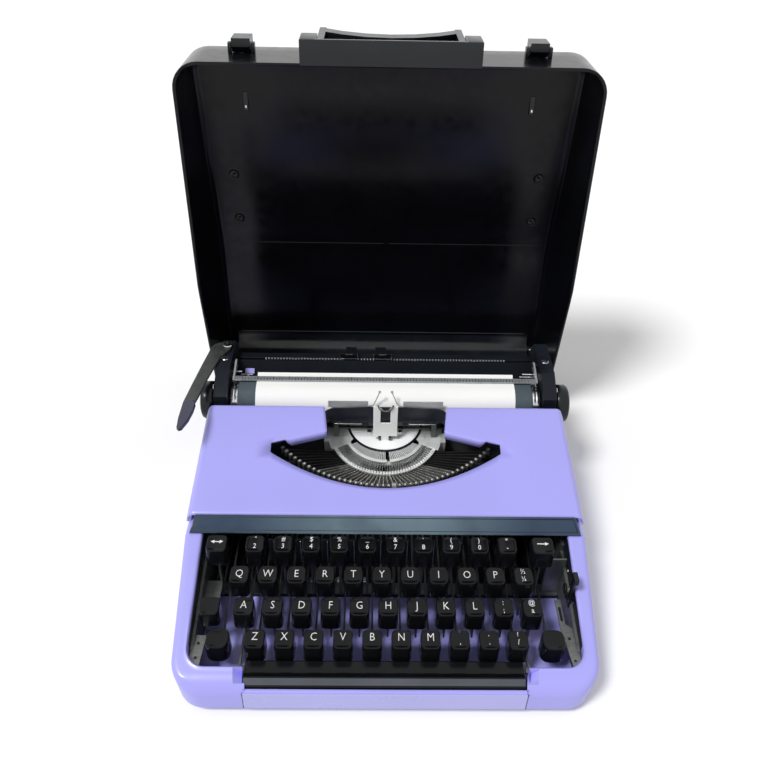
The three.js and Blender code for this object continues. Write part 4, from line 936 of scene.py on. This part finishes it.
def coil(x, y, z, radius, turns, length, wire):
    """Spring wire: x advances evenly while the wire goes round, (radius cos t, radius sin t)."""
    t = np.linspace(0, 2 * np.pi * turns, int(turns * 14) + 1)
    path = np.stack([x + length * t / t[-1], y + radius * np.cos(t), z + radius * np.sin(t)], -1)
    return tube(path, wire, 6, (1, 0.1, 0))


make("carriage_springs", [coil(x, 245, 88, 1.7, 6, 7.4, 0.35) for x in (-127, 119.6)], nickel_bright,
     "carriage_frame")
TOP_SCREW = [(108.0, 0.2), (108.0, 3.0), (108.22, 2.7), (108.22, 0.2)]
END_SCREW = [(138.15, 0.2), (138.15, 2.4), (138.6, 2.1), (138.6, 0.2)]
make("housing_screws", [turned(TOP_SCREW, (s * 132.8, 252, 0), 2, 28) for s in SIDES]
     + [turned([(s * a, r) for a, r in END_SCREW], (0, 222, 101), 0, 24) for s in SIDES], nickel_bright,
     "carriage_frame")

# Return lever
strip = [(-138.5, 271.5), (-143.5, 269), (-146, 264), (-149.6, 240), (-153.4, 212), (-155.9, 192), (-152.5, 186),
         (-147, 190), (-145.6, 197), (-142.0, 222), (-136.6, 250), (-129.8, 262), (-128.6, 269), (-131.5, 272.4)]
make("return_strip", [prism(strip, 108.3, 110.3, 2)], lever_grey, "return_lever", 0.45,
     stands_for=("return_lever",))
make("return_pivot", [turned([(110.3, 0.3), (110.9, 3.2), (110.9, 3.6), (110.3, 3.9)], (-132.8, 268, 0), 2, 28)],
     nickel_bright, "return_lever")
paddle = [(-155.9, 191), (-156.0, 172), (-155.2, 161.5), (-153.4, 159.8), (-151.2, 161), (-148.0, 170),
          (-146.2, 181), (-146.0, 189), (-148.2, 194), (-153.2, 195)]
make("return_paddle", [prism(paddle, 107.9, 110.8, 2)], paddle_blue, "return_lever", 0.6,
     stands_for=("return_lever",))

# Type basket
KEPT = {"segment": satin_nickel, "type_bar_h": type_steel, "chassis": chassis_steel}
for node, material in KEPT.items():
    for slot_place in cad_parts[node].material_slots:
        slot_place.material = material
softened("hinge_rod", dull_steel, "hinge_rod", 0.15)
for spool in ("spool_left", "spool_right"):
    softened(spool, housing_black, spool, 0.15)
FORK_SLOT = 78.0
fork = [(-9.8, 64), (-3, 64), (-3, 52), (3, 52), (3, 64), (9.8, 64), (9.8, 95), (6.2, 95), (4.7, 91.5),
        (4.0, 89.6), (4.0, FORK_SLOT), (-4.0, FORK_SLOT), (-4.0, 89.6), (-4.7, 91.5), (-6.2, 95), (-9.8, 95)]
make("vibrator_fork", [prism([(x, -z) for x, z in fork], -207, -206, 2)], face_nickel_painted_reflection, "ribbon_vibrator",
     0.25, stands_for=("ribbon_vibrator",),
     place=lambda points: np.stack([points[..., 0], -points[..., 2], -points[..., 1]], -1))


def basket_piece(name, surfaces, material, bevel=0.0, stands_for=()):
    """A still piece of the type basket, drawn in the basket's own frame."""
    make(name, surfaces, material, "base", bevel, stands_for=stands_for, place=in_basket)


def half_disc(radius, back):
    """Outline of a disc cut straight at the back: centre + radius (cos t, sin t) below the cut."""
    start = math.asin((back - FACE_CENTRE) / radius)
    t = np.linspace(np.pi - start, 2 * np.pi + start, 40)
    return np.stack([radius * np.cos(t), FACE_CENTRE + radius * np.sin(t)], -1)


def ring_band(inner, outer, centre_in, centre_out, low, high, ends=(184, 356)):
    """A half ring between two circles: at each angle the section is a box from the inner to the outer one."""
    t = np.linspace(*np.radians(ends), 64)[:, None]
    radius = np.array([inner, outer, outer, inner])
    centre = np.array([centre_in, centre_out, centre_out, centre_in])
    x, y = radius * np.cos(t), centre + radius * np.sin(t)
    z = np.broadcast_to(np.array([[low, low, high, high]]), x.shape)
    return solid(np.stack([x, y, z], -1))


def comb_tooth(angle, reach_in, reach_out, low, high, half=0.32):
    """A thin radial plate between two distances from the pivot circle's centre."""
    c, n = math.cos(angle), math.sin(angle)
    corners = np.array([(reach_in, -half), (reach_out, -half), (reach_out, half), (reach_in, half)])
    turned_corners = np.stack([corners[:, 0] * c - corners[:, 1] * n, corners[:, 0] * n + corners[:, 1] * c], -1)
    return prism(turned_corners, low, high, 2)


BARS, STRIKING_BAR = 42, 22
BAR_ANGLES = np.radians(-(156 - 132 * np.arange(BARS) / (BARS - 1)))
TOOTH_ANGLES = (BAR_ANGLES[:-1] + BAR_ANGLES[1:]) / 2


def disc_edge(angle, radius):
    """Distance from the pivot circle's centre to the face plate's rim, along an angle."""
    up = FACE_CENTRE * math.sin(angle)
    return up + math.sqrt(up * up + radius * radius - FACE_CENTRE * FACE_CENTRE)


basket_piece("basket_face", [prism(half_disc(29.6, 12.5), 10.35, 11.2, 2)], face_nickel_painted_reflection, 0.2)
basket_piece("basket_floor", [prism(half_disc(36, 11), 4.6, 5.4, 2)], plate_line)
STANDING_TEETH = np.delete(TOOTH_ANGLES, (STRIKING_BAR - 1, STRIKING_BAR))
basket_piece("basket_comb", [comb_tooth(a, disc_edge(a, 31.4), 31.0, 5.4, 10.2) for a in STANDING_TEETH]
             + [ring_band(31.6, 34.0, 2.5, 2.2, 10.2, 10.9, ends) for ends in ((184, 272.6), (277.0, 356))]
             + [ring_band(43.6, 46.2, 3.4, 3.2, 8.0, 9.6)], satin_nickel)
basket_piece("basket_groove", [ring_band(29.8, 31.2, FACE_CENTRE, FACE_CENTRE, 9.0, 10.6)], plate_line)
basket_piece("comb_tops", [comb_tooth(a, 34.2, 42.6, 10.0, 10.35, 0.26) for a in TOOTH_ANGLES], nickel_bright)


def screw_head(x, y, z, radius, height):
    """A domed head: a turned profile, flat on what carries it."""
    return turned([(z, radius * 0.9), (z + height * 0.5, radius), (z + height * 0.85, radius * 0.8),
                   (z + height, radius * 0.35), (z + height, 0.1)], (x, y, 0), 2, 28)


def screw_slot(x, y, z, reach):
    """The dark line of a slot across a head."""
    points, faces = comb_tooth(0.6, -reach, reach, z, z + 0.08, 0.3)
    return points + np.array([x, y, 0.0]), faces


HEADS = ((44.4, 7.5, 10, 2.9, 1.6), (12.9, 0.1, 11.2, 1.9, 1.2))
SLOTS = ((44.4, 7.5, 11.56, 2.2), (12.9, 0.1, 12.37, 1.4))
basket_piece("basket_screws", [screw_head(s * x, *rest) for x, *rest in HEADS for s in SIDES], nickel_bright)
basket_piece("screw_slots", [screw_slot(s * x, *rest) for x, *rest in SLOTS for s in SIDES], plate_line)
WIRE = ((21.2, 11.0, 11.6), (21.0, 9.6, 11.9), (17, 5.0, 11.9), (13.4, 0.9, 11.9))
basket_piece("guide_wires", [tube([(s * x, y, z) for x, y, z in WIRE], 0.42, 8) for s in SIDES], type_steel)


def standing_plate(angle, outline, half):
    """A thin plate of (reach, height) points standing along a radius: turned by the angle about the centre."""
    points, faces = prism(outline, -half, half)
    aside, reach, height = points.T
    c, n = math.cos(angle), math.sin(angle)
    return np.stack([reach * c - aside * n, reach * n + aside * c, height], -1), faces


def bar_end(angle):
    """Where a type bar's end rests: its reach grows from the middle of the fan to the sides."""
    aside = abs(angle + math.pi / 2) / math.radians(66)
    return 73.6 + 14.5 * aside**2, 33.0 - 2.0 * aside**2


def bar_plate(angle, corners, half):
    """A plate on a bar, its corners given as a reach and a height from the bar's end."""
    reach, height = bar_end(angle)
    return standing_plate(angle, [(reach + out, height + up) for out, up in corners], half)


def bar_blade(angle):
    """The bar itself, from the segment out to its end."""
    reach, height = bar_end(angle)
    return standing_plate(angle, [(38.5, 0.4), (reach, height - 2.2), (reach, height + 0.6), (38.5, 3.6)], 0.42)


STILL_BARS = np.delete(BAR_ANGLES, STRIKING_BAR)
TO_SIDE = math.radians(44)
basket_piece("type_blades", [bar_blade(a) for a in STILL_BARS if abs(a + math.pi / 2) <= TO_SIDE], type_steel,
             stands_for=("type_bars",))
# Bars far to the sides are the same steel drawn near-black: painted shade under the cover.
basket_piece("side_blades", [bar_blade(a) for a in STILL_BARS if abs(a + math.pi / 2) > TO_SIDE], shaded_blade_steel)
basket_piece("type_slugs", [bar_plate(a, [(-1.7, -3.2), (0.9, -3.2), (0.9, 3.0), (-1.7, 3.0)], 1.2)
                            for a in STILL_BARS], slug_steel)
basket_piece("type_faces", [bar_plate(a, [(-1.2, 2.9), (0.1, 2.9), (0.1, 3.3), (-1.2, 3.3)], 0.6)
                            for a in STILL_BARS], nickel_bright)


def segment_wing(sign):
    """Flat shoulder of the segment beside the face plate: round the disc inside, straight outside."""
    disc = [(math.sqrt(31.6**2 - (y - FACE_CENTRE) ** 2), y) for y in np.linspace(-7, 12.4, 12)]
    rim = [(47.2 * math.cos(t), 47.2 * math.sin(t)) for t in np.linspace(-0.1, -0.4, 6)]
    outline = np.array(disc + [(47.2, 12.4), (47.4, 2)] + rim + [(29.5, -12.0)]) * np.array([sign, 1])
    return prism(outline, 9.7, 10.5, 2)


basket_piece("segment_wings", [segment_wing(sign) for sign in SIDES], satin_nickel, 0.2)


def ribbon_band():
    """Ribbon path in plan with a standing height at each point: tall across the front, low at the spools."""
    half = [(98, 183.6), (84, 189.5), (72, 195.5), (57, 202), (44, 208.6), (30, 208.6), (14, 208.6)]
    smooth = curve([(-x, y) for x, y in half] + half[::-1], 90)
    far = np.abs(smooth[:, 0])
    low = np.interp(far, [46, 84], [77.2, 56.9])
    high = np.interp(far, [16, 46, 84], [92.6, 90.4, 69.9])
    near = np.stack([smooth[:, 0], smooth[:, 1], low], -1)
    rows = [near, np.stack([smooth[:, 0], smooth[:, 1], high], -1),
            np.stack([smooth[:, 0], smooth[:, 1] + 0.5, high], -1), near + np.array([0, 0.5, 0])]
    return solid(np.stack(rows, axis=1))


make("ribbon_band", [ribbon_band()], ribbon_ink, "base", stands_for=("ink_ribbon",))
make("ribbon_guides", [block((s * 29 - 15.5, 205.0, 76.6), (s * 29 + 15.5, 206.2, 79.4), 0.5, 0.3, axis=0)
                       for s in SIDES], trim_black, "base")
make("guide_glints", [block((s * 30 - 11, 204.7, 77.6), (s * 30 + 11, 205.1, 78.3), 0.2, 0.1, axis=0)
                      for s in SIDES], nickel_bright, "base")
FINGER = ((14.6, 210.2, 92.0), (10.2, 211.6, 92.2), (9.2, 211.9, 93.6), (5.4, 212.4, 103.6), (5.0, 212.5, 104.8))
BEAD = [(-1.15, 0.1), (-0.8, 0.8), (0, 1.15), (0.8, 0.8), (1.15, 0.1)]
for side, sign in zip(("left", "right"), SIDES):
    make(f"line_finger_{side}", [tube([(sign * x, y, z) for x, y, z in FINGER], 0.45, 8, (0, 1, 0)),
                                 turned(BEAD, (sign * 4.9, 212.5, 105.1), 2, 16)], type_steel, "base")
make("vibrator_loop", [ring_band(5.2, 6.6, 0, 0, 0, 0.9)], nickel_bright, "ribbon_vibrator",
     place=lambda points: np.stack([points[..., 0], 205.0 + points[..., 2], 97.4 + points[..., 1]], -1))

# Lid
LID_HALF, LID_REAR, LID_FRONT, LID_CREASE = 159.0, -3.0, 299.0, 118.0


def lid_plan(inset):
    """Plan loop of the lid at an inset: four corner arcs, with points where the crown creases."""
    half, rear, front = LID_HALF - inset, LID_REAR + inset, LID_FRONT - inset
    r_front, r_rear = 20 - inset, 12 - inset
    q = np.linspace(0, np.pi / 2, 9)
    up = np.concatenate([np.linspace(rear + r_rear, LID_CREASE, 8)[1:],
                         np.linspace(LID_CREASE, front - r_front, 10)[1:-1]])
    across = np.linspace(-half + r_front, half - r_front, 16)[1:-1]
    back = np.linspace(half - r_rear, -half + r_rear, 16)[1:-1]
    right = [(half - r_rear + r_rear * np.sin(q), rear + r_rear - r_rear * np.cos(q)), (half + 0 * up, up),
             (half - r_front + r_front * np.cos(q), front - r_front + r_front * np.sin(q))]
    left = [(-x[::-1], s[::-1]) for x, s in right[::-1]]
    loops = [*right, (-across, front + 0 * across), *left, (-back, rear + 0 * back)]
    return [np.concatenate(column) for column in zip(*loops)]


def crown_depth(s):
    """Depth of the crown: nearly level behind, then sloping to the front wall."""
    return np.interp(s, [LID_REAR, LID_CREASE, LID_FRONT], [95.5, 92.2, 58])


def rim_height(s):
    """The rim dips towards the hinge."""
    return np.interp(s, [0, 115], [-25, 0])


def lid_half_shell(inset, rim_drop):
    """Rows from the rim down the wall, round the fillet and in across the crown to its middle."""
    x, s = lid_plan(inset)
    fillet = 9.0 - inset
    rows = [np.stack([x, s, rim_height(s) - rim_drop], -1)]
    for share in (0.12, 0.4, 0.7, 1.0):
        rim = rim_height(s) - rim_drop
        low = -(crown_depth(s) - inset) + fillet
        rows.append(np.stack([x, s, rim + (low - rim) * share], -1))
    for t in np.linspace(0, np.pi / 2, 7)[1:]:
        px, ps = lid_plan(inset + fillet * (1 - math.cos(t)) * 0.999)
        rows.append(np.stack([px, ps, -(crown_depth(ps) - inset) + fillet * (1 - math.sin(t))], -1))
    px, ps = lid_plan(inset + fillet * 0.999)
    for share in (0.85, 0.6, 0.3, 0.02):
        gx, gs = px * share, LID_CREASE + (ps - LID_CREASE) * share
        rows.append(np.stack([gx, gs, -(crown_depth(gs) - inset)], -1))
    return rows


def lid_shell():
    """Inner rows reversed, over the rounded rim, then the outer rows: one closed skin."""
    inner = lid_half_shell(2.4, 0.5)[::-1]
    outer = lid_half_shell(0.0, 0.5)
    x, s = lid_plan(1.2)
    rim = [np.stack([x, s, rim_height(s)], -1)]
    return solid(np.stack(inner + rim + outer))


def lid_ear(x):
    """Hinge ear: an upright leg with a rounded end."""
    outline = [(-3, -31), (6, -31), (6, 0), (4.2, 4.2), (0, 6), (-4.2, 4.2), (-6, 0), (-3, -5)]
    return prism(outline, x - 3, x + 3)


def lid_cove():
    """Rounded ledge inside the lid above the hinge: a quarter circle of radius 19 between crown and rear wall."""
    t = np.linspace(0, np.pi / 2, 12)
    bend = np.stack([19.0 - 19.0 * np.sin(t), -73.5 - 19.0 * np.cos(t)], -1)
    return prism(np.concatenate([bend, [(-1.6, -73.5), (-1.6, -93.8), (19.0, -93.8)]]), -146, 146)


def lid_boss(x, s):
    """A moulded socket on the inside of the crown: a low collar round a peg."""
    depth = -float(crown_depth(np.array(s))) + 2.3
    profile = [(-0.5, 4.6), (1.2, 4.3), (2.0, 3.6), (1.9, 2.9), (0.6, 2.6), (0.6, 1.5), (3.0, 1.2), (3.2, 0.3)]
    return turned([(depth + rise, radius) for rise, radius in profile], (x, s, 0), 2, 28)


def lid_piece(name, surfaces, bevel=0.0, angle=35):
    """A fixed piece of the lid, drawn in the lid's own frame."""
    make(name, surfaces, lid_gloss, "lid", bevel, angle, place=in_lid)


make("lid_walls", [lid_shell(), lid_ear(-76), lid_ear(76)], lid_black, "lid", angle=40,
     stands_for=("lid_shell",), place=in_lid)
lid_piece("lid_ledge", [lid_cove(), tube(np.linspace((-142, 19.5, -92.2), (142, 19.5, -92.2), 3), 0.9),
                        tube(np.linspace((-146, 118, -90.2), (146, 118, -90.2), 3), 0.55)], angle=40)
lid_piece("lid_sockets", [lid_boss(x, s) for x in (-133, 133) for s in (144, 188)])
CATCHES = (-116, 117)
lid_piece("lid_catches", [prism([(247, -66.6), (262, -63.8), (262, -62.2), (247, -62.4)], x - 2, x + 2)
                          for x in CATCHES], bevel=0.4)
make("catch_pins", [block((x - 0.7, 249, -62.6), (x + 0.7, 251.4, -61.8), 0.4, 0.2) for x in CATCHES],
     nickel_bright, "lid", place=in_lid)
lid_piece("handle_block", [block((-65.5, 297.5, -1.8), (65.5, 315.5, 1.5), 0.8, 0.5)]
          + [block((low, 297.5, -21), (low + 12, 315.5, 1.4), 1.2, 0.6, axis=1) for low in (-65.5, 53.5)]
          + [block((-65.5, 298.5, -21), (65.5, 301, 1), 0.8, 0.4)])
softened("lid_handle", lid_gloss, "handle", 1.8)
for side in ("left", "right"):
    softened(f"latch_{side}", lid_gloss, f"latch_{side}", 0.6)
for side, x in (("left", -110.8), ("right", 110.8)):
    lid_piece(f"latch_ears_{side}", [block((low, 298.5, -33.5), (low + 2.6, 306.5, -27.5), 1, 0.4, axis=0)
                                     for low in (x - 10, x + 7.4)])

# Stage
FLOOR = -BASE_MIDDLE[2] * METRES
floor_mesh = bpy.data.meshes.new("floor")
floor_mesh.from_pydata([(-9, -9, FLOOR), (9, -9, FLOOR), (9, 9, FLOOR), (-9, 9, FLOOR)], [], [(0, 1, 2, 3)])
floor = bpy.data.objects.new("floor", floor_mesh)
bpy.context.collection.objects.link(floor)
floor_finish = bpy.data.materials.new("Pale floor")
floor_finish.use_nodes = True
floor_nodes, floor_links = floor_finish.node_tree.nodes, floor_finish.node_tree.links
floor_shader = floor_nodes["Principled BSDF"]
for socket, value in (("Base Color", (0.88, 0.88, 0.88, 1)), ("Roughness", 0.9), ("Specular IOR Level", 0.1),
                      ("Emission Color", (1, 1, 1, 1))):
    floor_shader.inputs[socket].default_value = value
seen = floor_nodes.new("ShaderNodeLightPath")
glow = floor_nodes.new("ShaderNodeMath")
glow.operation = "MULTIPLY"
glow.inputs[1].default_value = 0.14
floor_links.new(seen.outputs["Is Camera Ray"], glow.inputs[0])
floor_links.new(glow.outputs["Value"], floor_shader.inputs["Emission Strength"])
floor_mesh.materials.append(floor_finish)

world = bpy.data.worlds.new("Studio")
bpy.context.scene.world = world
world.use_nodes = True
sky_nodes, sky_links = world.node_tree.nodes, world.node_tree.links
sky = sky_nodes["Background"]
sky.inputs["Color"].default_value = (1, 1, 1, 1)
ray = sky_nodes.new("ShaderNodeLightPath")
mirrored = sky_nodes.new("ShaderNodeMath")
mirrored.operation = "MAXIMUM"
either = sky_nodes.new("ShaderNodeMath")
either.operation = "MAXIMUM"
strength = sky_nodes.new("ShaderNodeMapRange")
strength.inputs["To Min"].default_value = 0.42
strength.inputs["To Max"].default_value = 1.0
sky_links.new(ray.outputs["Is Glossy Ray"], mirrored.inputs[0])
sky_links.new(ray.outputs["Is Transmission Ray"], mirrored.inputs[1])
sky_links.new(mirrored.outputs["Value"], either.inputs[0])
sky_links.new(ray.outputs["Is Camera Ray"], either.inputs[1])
sky_links.new(either.outputs["Value"], strength.inputs["Value"])
sky_links.new(strength.outputs["Result"], sky.inputs["Strength"])

lamp = bpy.data.lights.new("High soft lamp", "SUN")
lamp.energy = 2.3
lamp.angle = math.radians(14)
lamp_object = bpy.data.objects.new("High soft lamp", lamp)
bpy.context.collection.objects.link(lamp_object)
lamp_object.rotation_euler = (math.radians(19.7), math.radians(-26.6), 0)

# Camera at the photograph's angle
IMAGE_SIZE, FOCAL_PIXELS, SENSOR = 768, 802.4528, 36
CAMERA_PLACE = (-12.0345, -284.8829, 503.5453)
PITCH, YAW, ROLL = (math.radians(a) for a in (38.110339, 1.189099, 1.347382))
toward = np.array([math.sin(YAW) * math.cos(PITCH), math.cos(YAW) * math.cos(PITCH), -math.sin(PITCH)])
level = np.array([math.cos(YAW), -math.sin(YAW), 0.0])
upright = np.cross(level, toward)
right = level * math.cos(ROLL) + upright * math.sin(ROLL)
up = -level * math.sin(ROLL) + upright * math.cos(ROLL)
camera_data = bpy.data.cameras.new("Camera")
camera_data.sensor_width = SENSOR
camera_data.lens = FOCAL_PIXELS / IMAGE_SIZE * SENSOR
camera_data.clip_start = 0.01
camera = bpy.data.objects.new("Camera", camera_data)
bpy.context.collection.objects.link(camera)
spot = (np.array(CAMERA_PLACE) - BASE_MIDDLE) * METRES
turn = np.eye(4)
turn[:3, 0], turn[:3, 1], turn[:3, 2], turn[:3, 3] = right, up, -toward, spot
camera.matrix_world = [list(column) for column in turn.T]
bpy.context.scene.camera = camera
bpy.context.scene.view_settings.view_transform = "Standard"
